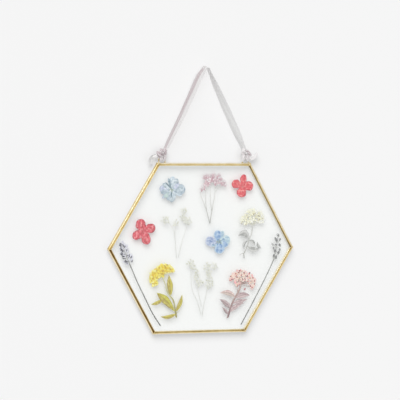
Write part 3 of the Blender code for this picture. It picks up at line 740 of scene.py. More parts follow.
addWireLoop("loopLeft", "wire_loop_left", -1, loopShape)
addWireLoop("loopRight", "wire_loop_right", 1, loopShape)
print("wire loops and solder made")

glassLook = {"tint": (0.985, 0.992, 0.985, 1.0), "ior": 1.5}


def makeGlass(look):
    material = bpy.data.materials.new("clearGlass")
    material.use_nodes = True
    shader = material.node_tree.nodes["Principled BSDF"]
    shader.inputs["Base Color"].default_value = look["tint"]
    shader.inputs["Roughness"].default_value = 0.0
    shader.inputs["IOR"].default_value = look["ior"]
    shader.inputs["Transmission Weight"].default_value = 1.0
    return material


glass = makeGlass(glassLook)
for node in ("pane_front", "pane_back"):
    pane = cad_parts[node]
    if not pane.material_slots:
        pane.data.materials.append(glass)
    for held in pane.material_slots:
        held.material = glass
    pane.visible_shadow = False           # clear glass: light passes it as if it weren't there
    pane.visible_diffuse = False
print("panes glazed")


ribbonLook = {
    "silver": (253, 253, 251), "mauve": (188, 172, 175), "shade": (236, 232, 234),
    # crease is a painted shade for the valleys of the knots' folds
    "edge": (252, 251, 251), "crease": (112, 86, 90),
    "roughness": 0.42, "sheen": 0.35, "sheenRoughness": 0.4,
    "glow": 0.45, "glowDepth": 0.0025,    # how much light sinks into the satin, in metres
}


def makeSatin(look):
    # silver to mauve by the third mark and on to painted crease shade above 1, a fine weave
    # across, and painted shade in soft lengthways bands that stand for the satin's gloss
    material, tree, shader, marks, _, parts = startFinish("ribbonSatin", look["roughness"])
    silver, mauve, shade, edge, crease = (
        screenColour(look[key]) for key in ("silver", "mauve", "shade", "edge", "crease"))
    shader.inputs["Sheen Weight"].default_value = look["sheen"]
    shader.inputs["Sheen Roughness"].default_value = look["sheenRoughness"]
    shader.inputs["Subsurface Weight"].default_value = look["glow"]
    shader.inputs["Subsurface Radius"].default_value = (1.0, 1.0, 1.0)
    shader.inputs["Subsurface Scale"].default_value = look["glowDepth"]
    bands = noise(tree, marks, 1.0, 2, 0.5, stretch=(0.03, 1.6, 0.0))
    weave = calculate(tree, "SINE", calculate(tree, "MULTIPLY", parts["X"], 19.0))
    warp = calculate(tree, "SINE", calculate(tree, "MULTIPLY", parts["Y"], 90.0))
    cloth = calculate(tree, "MULTIPLY", weave, warp)
    colour = mixed(tree, parts["Z"], silver, mauve)
    # above 1 the third mark runs on to painted shade in the creases
    colour = mixed(tree, stepped(tree, parts["Z"], 1.0, 2.0), colour, crease)
    # painted shade in lengthways bands, for the satin's gloss
    colour = mixed(tree, stepped(tree, bands, 0.4, 0.68, 0, 0.5), colour, shade)
    colour = mixed(tree, stepped(tree, cloth, 0.1, 1.0, 0, 0.12), colour, shade)
    rim = calculate(tree, "ABSOLUTE", parts["Y"])
    colour = mixed(tree, stepped(tree, rim, 0.88, 0.97, 0, 0.6), colour, edge)
    applyLook(tree, shader, colour, calculate(tree, "ADD", cloth, bands), 0.2, 0.00005)
    return material


satin = makeSatin(ribbonLook)
ribbonShape = {
    "apex": 183.5, "bendRadius": 1.5, "space": 0.8, "cloth": 0.28,
    "sway": 1.5, "footShift": 1.7,        # how far the left run bows and steps in at its foot
    "knotOffset": 45.0, "knotHeight": 96.4025, "knotReach": 3.4,
    "leftWidths": (7, 8.5, 9, 9.3, 9.5, 9.5, 9.5, 9.0),
    "leftTurns": (66, 67, 68, 67, 66, 65, 63, 61, 59, 57, 58, 72),    # degrees
    "bendWidth": 9.5,
    "rightWidths": (9.5, 9.5, 10, 9.5, 7.5), "rightTurns": (90, 112, 120, 124, 113),
    "mauves": (0.95, 0.5, 0.25),          # left run, bend, top of the right run
    # the pale half is painted light and the mauve half painted shade, for a lengthwise fold
    "foldShading": 0.72,                       # how pale one half of the ribbon's width is
    "leftCurl": 0.25, "rightCurl": 0.5, "rows": 110, "bendRows": 16, "seed": 5,
}


def flatOval(angle):
    # sin(angle) squared off, so a band keeps its thickness nearly to its edges
    return np.sign(np.sin(angle)) * np.abs(np.sin(angle)) ** 0.4


def addBand(piece, path, widths, turns, mauve, curl, seed, foldShading=0):
    # across the ribbon s = cos(phi); its width turns out of the plane by an angle, curl
    # bows it as s^2 and fine lengthways creases ride on it
    rng = np.random.default_rng(seed)
    a, b = rng.uniform(0, 6.28, 2)
    heading = headings(path)
    across = np.stack([-heading[:, 2], 0 * heading[:, 0], heading[:, 0]], axis=1)
    across = across / np.linalg.norm(across, axis=1, keepdims=True)
    turn = np.radians(turns)[:, None]
    wide = across * np.cos(turn) + np.array([0, 1, 0]) * np.sin(turn)
    through = np.cross(heading, wide)
    length = np.r_[0, np.cumsum(np.linalg.norm(np.diff(path, axis=0), axis=1))][:, None]
    phi = around(36)
    s = np.cos(phi)
    bow = curl[:, None] * (s**2 - 0.4)
    crease = 0.12 * np.sin(3.1 * s + 0.07 * length + a) + 0.07 * np.sin(7 * s + 0.16 * length + b)
    lift = bow + crease + ribbonShape["cloth"] / 2 * flatOval(phi)
    grid = (path[:, None, :] + wide[:, None, :] * (widths[:, None] / 2 * s)[:, :, None]
            + through[:, None, :] * lift[:, :, None])
    # one half of the width is paled: painted light and shade of a lengthwise fold
    tint = mauve[:, None] * (1 - foldShading * np.clip(0.5 - 6 * s, 0, 1))
    addGrid(piece, grid, np.dstack([length + 0 * s, s + 0 * length, tint]))


def addRuns(shape):
    # up the left run, over the bend as an arc, down the right run: one strip
    bend = shape["bendRadius"] + shape["space"] / 2
    bendHeight = shape["apex"] - shape["bendRadius"] - shape["space"]
    ends = []
    for side in (-1, 1):
        knot = np.array([side * shape["knotOffset"], 0, shape["knotHeight"]])
        top = np.array([side * bend, 0, bendHeight])
        away = (top - knot) / np.linalg.norm(top - knot)
        ends.append((knot + away * shape["knotReach"], top))
    (leftFoot, leftTop), (rightFoot, rightTop) = ends
    s = np.linspace(0, 1, shape["rows"])[:, None]
    up = leftFoot + (leftTop - leftFoot) * s
    up[:, 0] -= shape["sway"] * np.sin(math.pi * s[:, 0] ** 5)
    up[:, 0] += shape["footShift"] * (1 - s[:, 0])
    down = rightTop + (rightFoot - rightTop) * s
    bendRows = shape["bendRows"]
    arc = np.linspace(math.pi - 0.05, 0.05, bendRows)
    over = np.stack([bend * np.cos(arc), 0 * arc, bendHeight + bend * np.sin(arc)], axis=1)
    path = np.vstack([up[:-1], over, down[1:]])
    t = np.linspace(0, 1, shape["rows"] - 1)
    widths = np.r_[easeBetween(shape["leftWidths"], t), np.full(bendRows, shape["bendWidth"]),
                   easeBetween(shape["rightWidths"], t)]
    turns = np.r_[easeBetween(shape["leftTurns"], t),
                  np.linspace(shape["leftTurns"][-1], shape["rightTurns"][0], bendRows),
                  easeBetween(shape["rightTurns"], t)]
    left, middle, right = shape["mauves"]
    mauve = np.r_[left + 0 * t, np.full(bendRows, middle), right * (1 - t) ** 4]
    curl = np.r_[shape["leftCurl"] * np.sin(math.pi * t), np.zeros(bendRows),
                 shape["rightCurl"] * np.sin(math.pi * t)]
    piece = startPiece()
    addBand(piece, path, widths, turns, mauve, curl, shape["seed"], shape["foldShading"])
    strip = finishPiece("ribbonRuns", piece, [satin], ["ribbon_left", "ribbon_right"])
    strip.visible_shadow = False          # thin satin lets nearly all the light through
    return strip


turnShape = {                             # the ribbon's turn through a wire loop
    "height": 4.5, "radius": 1.05, "flare": 0.25, "halfWidth": 2.7,
    "stretch": 0.9,                       # how much further the turn stands above the wire
}
# core: its three radii; wrap: tilt, then long, deep and half width; bows: pinch and tip as
# (across, height), width, thickness, depth, and how mauve; tail: ((across, height), depth)
knotShapes = {
    "knotLeftSide": {
        "node": "knot_left", "side": -1, "mauve": 0.8, "core": (2.0, 1.8, 2.2),
        "wrap": (0.6, 2.3, 2.3, 1.1),
        "bows": [((-42.6, 92.6), (-51.6, 98.0), 7.0, 3.0, -1.0, 1.0),
                 ((-43.0, 93.0), (-42.8, 102.0), 4.8, 2.6, -0.4, 0.95),
                 ((-43.4, 93.4), (-47.0, 101.2), 5.2, 2.4, 0.2, 0.9),
                 ((-45.4, 94.6), (-47.4, 88.0), 3.4, 1.5, -2.0, 0.5),
                 ((-43.4, 94.4), (-42.6, 87.9), 3.6, 1.4, -2.0, 0.6),
                 ((-44.8, 93.6), (-55.8, 92.0), 4.0, 1.8, -0.4, 0.15)],
        "tail": [((-48.5, 94.0), -0.2), ((-54.6, 93.4), -0.2), ((-57.4, 89.8), 0.2),
                 ((-56.0, 84.8), 0.6)],
        "tailWidths": (3, 4.5, 6, 5.5), "tailTurns": (30, 30, 35, 30), "tailMauve": 0.05},
    "knotRightSide": {
        "node": "knot_right", "side": 1, "mauve": 0.35, "core": (2.0, 1.8, 2.2),
        "wrap": (-0.5, 2.4, 2.4, 1.2),
        "bows": [((43.4, 96.6), (51.6, 95.0), 5.2, 2.6, -0.8, 0.85),
                 ((44.0, 95.0), (42.0, 102.6), 4.6, 2.4, -0.2, 0.35),
                 ((44.6, 95.2), (47.2, 100.4), 4.0, 2.2, 0.0, 0.65),
                 ((45.0, 95.0), (39.4, 97.0), 3.6, 2.2, -0.6, 0.5),
                 ((43.8, 95.4), (40.4, 87.8), 4.2, 1.5, -2.0, 0.3),
                 ((45.2, 95.4), (47.8, 87.7), 4.2, 1.5, -2.0, 0.4)],
        "tail": [((46.4, 92.6), -1.0), ((50.4, 91.0), -1.6), ((54.2, 92.4), -1.4),
                 ((57.4, 96.8), -0.6)],
        "tailWidths": (3, 4.4, 4.4, 2.6), "tailTurns": (30, 45, 50, 40), "tailMauve": 0.3},
}


def addBow(piece, pinch, tip, width, thick, depth, mauve, seed):
    # rings across the line from pinch to tip; the half width is sin(pi u^0.7)^0.62, so the
    # bow swells towards its tip, and folds sin(6 phi) fade from the pinch outward
    rng = np.random.default_rng(seed)
    a, b, c = rng.uniform(0, 6.28, 3)
    u = np.linspace(0.012, 0.988, 40)[:, None]
    phi = around(48)
    pinch, tip = np.array(pinch), np.array(tip)
    heading = tip - pinch
    side = np.array([heading[1], -heading[0]]) / np.linalg.norm(heading)
    swell = np.sin(math.pi * u**0.7) ** 0.62
    fold = 0.20 * np.sin(6 * phi + a + 0.6 * u) * (1 - u) + 0.05 * np.sin(11 * phi + b + 2 * u)
    across = width / 2 * swell * np.cos(phi) * (1 + fold) + 0.5 * np.sin(math.pi * u + c)
    y = depth + thick / 2 * swell * np.sin(phi) * (1 + 1.4 * fold) - 0.3 * np.sin(math.pi * u)
    flat = pinch + heading * u[:, :, None] + side * across[:, :, None]
    # how far down a fold valley each point lies; the satin turns this into painted shade
    crease = np.clip(-np.sin(6 * phi + a + 0.6 * u), 0, 1) ** 4 * (1 - u) ** 1.5
    surface = np.dstack([6 * u + 0 * phi, np.cos(phi) + 0 * u, mauve + 1.7 * crease])
    addGrid(piece, np.dstack([flat[:, :, 0], y, flat[:, :, 1]]), surface)


def addKnot(name, shape):
    piece = startPiece()
    side = shape["side"]
    middle = np.array([side * ribbonShape["knotOffset"], 0, ribbonShape["knotHeight"]])

    def addMauve(x, y, z, along, across, ring=True):
        x, y, z, along, across = np.broadcast_arrays(x, y, z, along, across)
        tint = np.full(x.shape, shape["mauve"])
        addGrid(piece, np.dstack([x, y, z]), np.dstack([along, across, tint]), ring=ring)

    # core: an egg with folds sin(5 phi + 3 t) pressed into it
    t = np.linspace(0.05, 0.95, 26)[:, None] * math.pi
    phi = around(40)
    folds = 1 + 0.07 * np.sin(5 * phi + 3 * t + side) + 0.04 * np.sin(11 * phi - 5 * t)
    a, b, c = shape["core"]
    addMauve(middle[0] + a * np.sin(t) * np.cos(phi) * folds, b * np.sin(t) * np.sin(phi) * folds,
             middle[2] + c * np.cos(t) * folds, 4 * t, np.cos(3 * phi), ring=False)
    # wrap: an oval turn about a tilted axis, as wide as the crimped ribbon
    tilt, long, deep, half = shape["wrap"]
    u, v = around(56).T, around(28)
    s = np.cos(v)
    swell = 1 + 0.05 * np.sin(3 * u)
    bulge = 0.5 * (1 - s**2) + 0.12 * np.sin(9 * s + 2 * u) + 0.16 * flatOval(v)
    p = (long * swell + bulge) * np.cos(u)
    q = half * s * (1 + 0.15 * np.sin(2 * u))
    addMauve(middle[0] + p * math.cos(tilt) - q * math.sin(tilt),
             (deep * swell + bulge) * np.sin(u),
             middle[2] + 0.97 * (p * math.sin(tilt) + q * math.cos(tilt)), 4 * u, s)
    for k, bow in enumerate(shape["bows"]):
        addBow(piece, *bow, 30 + 7 * k + side)
    # the turn through the wire loop: a ring about the wire, creased across
    u, v = around(44).T, around(24)
    s = np.cos(v)
    radius = (turnShape["radius"] + turnShape["flare"] * s**2 + 0.07 * np.sin(8 * s + u)
              + 0.14 * flatOval(v))
    stretch = 1 + turnShape["stretch"] * np.maximum(0, np.cos(u))
    addMauve(middle[0] + turnShape["halfWidth"] * s * (1 + 0.1 * np.cos(u)), radius * np.sin(u),
             apothem + turnShape["height"] + radius * np.cos(u) * stretch, 3 * u, s)
    # tail: a short band
    rows = 46
    path = curveThrough([(x, y, z) for (x, z), y in shape["tail"]], rows)
    t = np.linspace(0, 1, rows)
    addBand(piece, path, easeBetween(shape["tailWidths"], t), easeBetween(shape["tailTurns"], t),
            np.full(rows, shape["tailMauve"]), 0.7 * np.sin(math.pi * t), 9 + side)
    return finishPiece(name, piece, [satin], [shape["node"]])


runs = addRuns(ribbonShape)
knots = [addKnot(name, shape) for name, shape in knotShapes.items()]
print("ribbon made")


petalFinishes = {
    "blueGrey": petalFinish("blueGreyPetal", (182, 196, 205), (120, 140, 154), (154, 171, 185),
                            (132, 150, 158), pale=(218, 227, 233)),
    "lilac": petalFinish("lilacPetal", (204, 209, 226), (152, 166, 190), (162, 174, 192),
                         (146, 162, 172), pale=(228, 230, 239)),
    "paleFan": petalFinish("paleFanPetal", (215, 224, 230), (142, 166, 182), (186, 203, 215),
                           (138, 158, 168), pale=(235, 241, 244)),
    "greyStreak": petalFinish("greyStreakPetal", (190, 202, 209), (106, 124, 134), (150, 167, 178),
                              (120, 140, 148), pale=(222, 230, 236)),
    "paleGreen": petalFinish("paleGreenPetal", (198, 214, 211), (148, 172, 175), (170, 189, 191),
                             (140, 160, 158)),
    "darkSepal": petalFinish("darkSepal", (126, 146, 156), (92, 110, 120), (160, 180, 190),
                             (108, 128, 132)),
    "salmonRed": petalFinish("salmonRedPetal", (222, 94, 102), (186, 54, 72), (178, 80, 96),
                             (214, 110, 112), edgeFrom=0.84, deepen=0.8, pale=(244, 160, 154),
                             patchShare=0.85, patchSize=420),
    "mottledRed": petalFinish("mottledRedPetal", (214, 84, 99), (168, 44, 66), (154, 56, 76),
                              (196, 90, 100), edgeFrom=0.84, deepen=0.9, pale=(244, 168, 168),
                              patchShare=0.9, patchSize=480),
    "skyBlue": petalFinish("skyBluePetal", (158, 184, 213), (104, 140, 187), (186, 206, 221),
                           (126, 154, 164), deepen=0.9, patchShare=0.5, patchSize=340,
                           pale=(204, 219, 232)),
    "skyLilac": petalFinish("skyLilacPetal", (178, 190, 213), (120, 142, 184), (202, 208, 224),
                            (134, 158, 178), deepen=0.9, patchShare=0.5, patchSize=340,
                            pale=(214, 221, 233)),
    "skyGreen": petalFinish("skyGreenPetal", (172, 195, 210), (112, 144, 181), (200, 219, 222),
                            (140, 170, 164), deepen=0.9, patchShare=0.6, patchSize=340,
                            pale=(216, 231, 230)),
}
greenStamens = crowdFinish("stamens", (120, 140, 110), (150, 166, 130), (188, 196, 160),
                           (96, 104, 84))
redStamens = crowdFinish("redStamens", (176, 84, 96), (206, 116, 118), (236, 160, 152),
                         (150, 66, 80))

# each petal: tip, width, where it is widest, finish, depth; the heart is a star of small
# petals: finish, how many, reach, width; stamens: finish, how many, reach, size
florets = {
    "blueGreyBloom": {
        "node": "blue_grey_floret", "slot": "blue_grey_petals", "centre": (-33.9, 59.5),
        "fullness": 0.66,
        "petals": [((-32.6, 72.8), 7.0, 0.70, "paleFan", 0.14),
                   ((-28.2, 70.6), 6.2, 0.72, "greyStreak", 0.10),
                   ((-33.6, 46.8), 7.2, 0.66, "greyStreak", 0.12),
                   ((-37.6, 48.6), 5.4, 0.70, "blueGrey", 0.06),
                   ((-42.4, 51.8), 5.2, 0.72, "paleGreen", 0.02),
                   ((-43.6, 50.8), 3.0, 0.80, "lilac", 0.08),
                   ((-46.8, 61.4), 7.8, 0.72, "lilac", 0.04),
                   ((-45.2, 56.4), 5.4, 0.70, "blueGrey", -0.04),
                   ((-43.6, 65.8), 4.6, 0.66, "greyStreak", -0.02),
                   ((-19.3, 60.0), 10.6, 0.70, "blueGrey", -0.02),
                   ((-22.4, 54.2), 6.0, 0.70, "paleFan", 0.06),
                   ((-38.0, 71.0), 3.2, 0.66, "blueGrey", -0.10),
                   ((-30.2, 50.6), 4.2, 0.60, "paleFan", -0.08),
                   ((-26.0, 65.6), 4.4, 0.62, "lilac", -0.10),
                   ((-37.6, 70.9), 1.5, 0.60, "darkSepal", -0.18),
                   ((-41.2, 67.4), 1.3, 0.60, "darkSepal", -0.18),
                   ((-34.6, 50.6), 1.6, 0.60, "darkSepal", -0.18),
                   ((-29.9, 53.4), 1.1, 0.60, "greyStreak", -0.18)],
        "heart": ("paleFan", 7, 4.0, 1.3), "stamens": (greenStamens, 12, 2.2, 0.34)},
    "redBloomUpper": {
        "node": "red_floret_upper", "slot": "red_petals", "centre": (42.0, 63.0),
        "petals": [((31.2, 67.0), 9.0, 0.66, "salmonRed", 0.08),
                   ((54.2, 63.5), 9.8, 0.64, "salmonRed", 0.0),
                   ((41.0, 51.6), 10.4, 0.62, "salmonRed", -0.08),
                   ((43.8, 74.9), 7.0, 0.64, "salmonRed", -0.14)],
        "heart": ("salmonRed", 4, 2.2, 1.0), "stamens": (redStamens, 5, 1.0, 0.30)},
    "redBloomLeft": {
        "node": "red_floret_left", "slot": "red_petals", "centre": (-62.9, 18.2),
        "petals": [((-67.6, 29.8), 10.8, 0.60, "mottledRed", 0.08),
                   ((-50.6, 22.8), 9.8, 0.62, "mottledRed", 0.0),
                   ((-74.0, 11.4), 9.4, 0.58, "mottledRed", -0.06),
                   ((-57.2, 4.8), 9.6, 0.62, "mottledRed", -0.14)],
        "heart": ("mottledRed", 6, 3.0, 1.6), "stamens": (redStamens, 6, 1.3, 0.32)},
    "skyBlueBloom": {
        "node": "sky_blue_floret", "slot": "sky_blue_petals", "centre": (18.5, 6.0),
        "petals": [((4.0, 7.6), 10.4, 0.68, "skyLilac", 0.10),
                   ((8.6, 2.8), 6.0, 0.70, "skyGreen", 0.14),
                   ((23.2, 17.2), 5.0, 0.70, "skyGreen", 0.12),
                   ((15.8, 17.9), 8.6, 0.64, "skyBlue", 0.04),
                   ((30.8, 8.0), 10.4, 0.68, "skyGreen", -0.02),
                   ((29.0, 3.4), 7.4, 0.68, "skyBlue", 0.04),
                   ((19.6, -5.8), 11.0, 0.64, "skyBlue", -0.10)],
        "heart": ("skyBlue", 5, 2.4, 1.0), "stamens": (greenStamens, 14, 3.0, 0.32)},
}
bud, longBud, flower, fineFlower = budShape(), budShape(1.9), flowerShape(), flowerShape(4)


def addFloret(name, shape):
    # petals from just past the middle outward, a small star over them, then the stamens
    piece = startPiece()
    centre = np.array(shape["centre"])
    names = []
    for k, (tip, width, widest, finish, depth) in enumerate(shape["petals"]):
        if finish not in names:
            names.append(finish)
        root = centre - 0.08 * (np.array(tip) - centre)
        addPetal(piece, root, tip, width, widest, 0.02 * (-1)**k, shape.get("fullness", 0.5),
                 depth=depth, slot=names.index(finish), tone=(0.37 * k + 0.11) % 1,
                 frill=0.055, seed=len(name) + 7 * k, rows=44, columns=36)
    finish, points, reach, width = shape["heart"]
    if finish not in names:
        names.append(finish)
    rng = np.random.default_rng(len(name))
    for k in range(points):
        a = 2 * math.pi * (k + rng.uniform(-0.2, 0.2)) / points
        tip = centre + reach * rng.uniform(0.8, 1.15) * np.array([math.cos(a), math.sin(a)])
        addPetal(piece, centre, tip, width, 0.5, depth=-0.24, slot=names.index(finish),
                 tone=k / points, thick=0.16, crumple=0.01, seed=k, rows=14, columns=12)
    material, count, spread, size = shape["stamens"]
    a = rng.uniform(0, 2 * math.pi, count)
    r = spread * np.sqrt(rng.uniform(0.1, 1, count))
    ends = centre + directions(a) * r[:, None]
    slot = len(names)
    addThreads(piece, np.tile(centre, (count, 1)), ends, 0.16, np.full(count, -0.34), 0.1, slot, 3)
    scatter(piece, bud, ends, -0.35, size, a, rng.uniform(0, 1, count), slot, squash=0.28)
    materials = [petalFinishes[key] for key in names] + [material]
    finishPiece(name, piece, materials, [shape["node"]])


for name, shape in florets.items():
    addFloret(name, shape)
print("single florets made")

sprayShape = {
    "spines": [([(-1.6, 58.0), (3.0, 63.8), (6.8, 69.0), (10.8, 74.0)], (2, 5.6, 6.8, 5.4, 2.4)),
               ([(12.2, 63.8), (14.8, 69.4), (16.8, 73.6)], (3, 6, 6, 2.6)),
               ([(8.4, 69.4), (13.8, 68.2), (19.0, 65.4), (23.8, 64.0)], (3, 6, 6, 4.8, 2.0)),
               ([(1.2, 70.6), (3.6, 71.8), (6.4, 71.2)], (3, 4, 3)),
               ([(2.4, 66.6), (7.2, 69.6), (12.4, 70.8), (17.6, 68.8), (21.4, 65.4)],
                (3, 6, 7, 6, 3))],
    "foot": (8.6, 50.0), "petals": 13.35, "hairs": 32.31,       # both for each spine point
    "petalSizes": (0.34, 0.72), "hairLengths": (1.6, 4.0), "hairWidth": 0.2,
    "beadSizes": (0.14, 0.28),
    "stalks": [([(8.1, 24.6), (4.3, 37.6), (1.0, 45.9), (-2.6, 56.6), (0.6, 62.0)], 1.0, 0.4, 1),
               ([(4.6, 36.4), (3.6, 42.0), (2.9, 52.0), (3.0, 57.4), (5.0, 64.0)], 0.7, 0.35, 2),
               ([(8.1, 24.6), (10.0, 37.8), (11.2, 45.4), (12.8, 54.8), (12.1, 63.0)], 1.0, 0.4,
                3),
               ([(9.8, 36.6), (8.4, 46.0), (7.4, 62.2)], 0.6, 0.35, 4),
               ([(3.0, 58.0), (-0.6, 61.0)], 0.4, 0.25, 10),
               ([(7.4, 61.0), (10.0, 68.0)], 0.4, 0.25, 11),
               ([(12.4, 60.0), (16.6, 67.0)], 0.4, 0.25, 12),
               ([(12.6, 57.0), (19.0, 63.6)], 0.4, 0.25, 13)],
}
sprayPetals = crowdFinish("sprayPetals", (196, 156, 166), (236, 214, 216), (250, 244, 243),
                          (184, 146, 158), fleck=0.5)
sprayHairs = crowdFinish("sprayHairs", (186, 150, 161), (226, 207, 210), (246, 240, 240),
                         (178, 144, 156))
paleStalk = stalkFinish("paleStalk", (178, 180, 176), (222, 222, 216), (190, 190, 182))


def addSpray(shape):
    # tiny petals and hairs along each spine, leaning away from the foot of the spray
    piece = startPiece()
    rng = np.random.default_rng(17)
    foot = np.array(shape["foot"])

    def spotsAlong(spine, widths, count, spread, wildness):
        # places near the spine, and the angle at which each one leans
        t = rng.uniform(0, 1, count)
        half = easeBetween(widths, t)[:, None] / 2
        at = curveThrough(spine, 200)[(t * 199).astype(int)]
        at = at + rng.normal(0, spread, (count, 2)) * half
        away = at - foot
        return at, np.arctan2(away[:, 1], away[:, 0]) + rng.normal(0, wildness, count)

    for k, (spine, widths) in enumerate(shape["spines"]):
        count = int(shape["petals"] * len(spine))
        at, lean = spotsAlong(spine, widths, count, 0.42, 0.6)
        scatter(piece, longBud, at, rng.uniform(-0.22, 0.22, count),
                rng.uniform(*shape["petalSizes"], count), lean, rng.uniform(0, 1, count),
                squash=0.25)
        count = int(shape["hairs"] * len(spine))
        at, lean = spotsAlong(spine, widths, count, 0.3, 0.75)
        ends = at + directions(lean) * rng.uniform(*shape["hairLengths"], count)[:, None]
        addThreads(piece, at, ends, shape["hairWidth"], rng.uniform(-0.3, 0.3, count), 0.2, 1,
                   seed=k)
        scatter(piece, bud, ends, rng.uniform(-0.3, 0.3, count),
                rng.uniform(*shape["beadSizes"], count), lean, rng.uniform(0, 1, count), 1,
                squash=0.3)
    finishPiece("sprayTuft", piece, [sprayPetals, sprayHairs], ["pink_spray_head"])
    addStalkPiece("sprayStalks", "pink_spray_stems", shape["stalks"], paleStalk)


addSpray(sprayShape)
print("pink spray made")

breathPetals = crowdFinish("breathPetals", (212, 214, 200), (246, 247, 235), (254, 254, 249),
                           (204, 207, 182), heartEnd=0.4, fleck=0.45)
breathHearts = crowdFinish("breathHearts", (164, 166, 126), (204, 202, 158), (232, 230, 196),
                           (156, 158, 128))
breathStalk = stalkFinish("breathStalk", (208, 210, 204), (226, 226, 220), (192, 194, 186))
# flowers: an outer and an inner one, each as (size, turn, how far it lies in front)
sprigShape = {
    "stalkWidths": (0.62, 0.34), "thread": 0.26,
    "flowers": ((1.06, 0.0, 0.0), (0.72, 0.6, 0.1)), "sizes": (0.8, 1.12),
    "eye": 0.34, "eyeInFront": 0.16,
}
# each sprig: stalks as points, then clusters as (middle, radius, flowers)
sprigs = {
    "breathUpperLeft": {
        "node": "babys_breath_upper_left",
        "stalks": [[(-26.6, -9.9), (-28.0, 0.4), (-28.9, 10.0), (-30.8, 18.2), (-34.8, 24.6),
                    (-39.6, 28.6)], [(-28.9, 9.0), (-29.2, 19.0), (-28.2, 25.0)]],
        "clusters": [((-39.8, 28.8), 4.4, 13), ((-28.4, 25.8), 3.4, 9)]},
    "breathUpperRight": {
        "node": "babys_breath_upper_right",
        "stalks": [[(-24.8, -9.2), (-22.8, 0.3), (-20.3, 10.6), (-17.4, 19.6), (-16.6, 28.0)],
                   [(-17.4, 24.0), (-19.8, 31.0), (-20.4, 37.4)]],
        "clusters": [((-15.8, 27.6), 4.4, 14), ((-21.4, 31.0), 3.2, 8), ((-20.4, 37.6), 3.8, 11)]},
    "breathLowerLeft": {
        "node": "babys_breath_lower_left",
        "stalks": [[(1.3, -68.4), (-1.6, -58.7), (-4.2, -52.3), (-8.2, -44.7), (-9.9, -37.5),
                    (-10.6, -26.2), (-10.9, -16.0)]],
        "clusters": [((-11.2, -15.4), 4.4, 13), ((-8.2, -20.0), 3.0, 6)]},
    "breathLowerMiddle": {
        "node": "babys_breath_lower_middle",
        "stalks": [[(1.6, -60.2), (-0.4, -52.0), (-2.2, -45.0), (-3.6, -37.0), (-3.4, -26.0)]],
        "clusters": [((-4.0, -25.0), 3.0, 7), ((-4.6, -30.4), 3.8, 10), ((-2.4, -35.6), 4.0, 11),
                     ((2.2, -34.6), 2.2, 4)]},
    "breathLowerRight": {
        "node": "babys_breath_lower_right",
        "stalks": [[(2.6, -69.4), (3.5, -60.9), (4.9, -54.6), (6.0, -48.8), (7.6, -40.0),
                    (8.8, -32.0), (8.2, -24.0), (8.0, -18.6)], [(8.2, -25.0), (14.6, -19.0)]],
        "clusters": [((6.8, -18.4), 4.0, 11), ((14.4, -18.8), 3.6, 10), ((8.6, -25.0), 3.6, 9),
                     ((9.2, -30.8), 3.8, 10), ((9.4, -36.8), 4.6, 15)]},
}


def addSprig(name, shape, seed):
    # flowers in each cluster sit on a sunflower spiral, each on a thread from its stalk
    piece = startPiece()
    rng = np.random.default_rng(seed)
    for k, points in enumerate(shape["stalks"]):
        addStalk(piece, points, *sprigShape["stalkWidths"], slot=2, seed=seed + k)
    for middle, radius, count in shape["clusters"]:
        k = np.arange(count)
        r = radius * np.sqrt((k + 0.5) / count)
        a = k * 2.4 + rng.uniform(0, 6)
        at = np.array(middle) + directions(a) * r[:, None]
        at = at + rng.normal(0, 0.25, at.shape)
        root = np.array(middle) + np.array([0, -radius * 0.9])
        depths = rng.uniform(-0.16, 0.16, count)
        addThreads(piece, np.tile(root, (count, 1)), at, sprigShape["thread"], depths * 0.5,
                   0.15, 2, seed=seed)
        for size, turn, inFront in sprigShape["flowers"]:
            scatter(piece, fineFlower, at, depths - inFront,
                    size * rng.uniform(*sprigShape["sizes"], count), a + turn,
                    rng.uniform(0, 1, count))
        scatter(piece, bud, at, depths - sprigShape["eyeInFront"], sprigShape["eye"], a,
                rng.uniform(0, 1, count), 1, squash=0.4)
    finishPiece(name, piece, [breathPetals, breathHearts, breathStalk], [shape["node"]])


for k, (name, shape) in enumerate(sprigs.items()):
    addSprig(name, shape, 60 + 10 * k)
print("baby's breath made")


def addHead(name, node, shape, finishes):
    # a crowd of tiny flowers inside a given outline, threads fanning to it from the
    # stalk, and beads on top; tone rises towards the outline as exp(-distance)
    piece = startPiece()
    seed = shape["seed"]
    rng = np.random.default_rng(seed)
    outline = curveThrough(shape["outline"] + shape["outline"][:1], 160)[:-1]
    spots = spreadInside(outline, 3.4, seed + 5)[0]
    spots = spots[rng.permutation(len(spots))[:shape["fans"]]]
    addThreads(piece, np.tile(shape["root"], (len(spots), 1)), spots, shape["fanWidth"],
               np.full(len(spots), 0.12), 0.12, 2, seed=2, rows=14)
    for layer, (pitch, size, depth, shift) in enumerate(shape["layers"]):
        spots, inside = spreadInside(outline, pitch, seed + layer)
        count = len(spots)
        nearEdge = np.exp(-inside / shape["rimWidth"])
        lumps = np.sin(spots[:, 0] * 0.9 + 1.3 * layer) * np.sin(spots[:, 1] * 0.8 + layer)
        tones = 0.32 + shift + (0.5 - min(shift, 0)) * nearEdge + 0.16 * lumps
        tones = np.clip(tones + rng.normal(0, 0.16, count), 0, 1)
        scatter(piece, flower, spots, depth + rng.uniform(-0.09, 0.09, count),
                size * rng.uniform(0.75, 1.2, count), rng.uniform(0, 6.28, count), tones,
                squash=0.42)
    beads = np.vstack([shape["beads"], spreadInside(outline, shape["extraBeads"], seed + 9)[0]])
    count = len(beads)
    scatter(piece, bud, beads, -0.3, shape["beadSize"] * rng.uniform(0.7, 1.15, count),
            rng.uniform(0, 6.28, count), rng.uniform(0, 1, count), 1, squash=0.25)
    finishPiece(name, piece, finishes, [node])


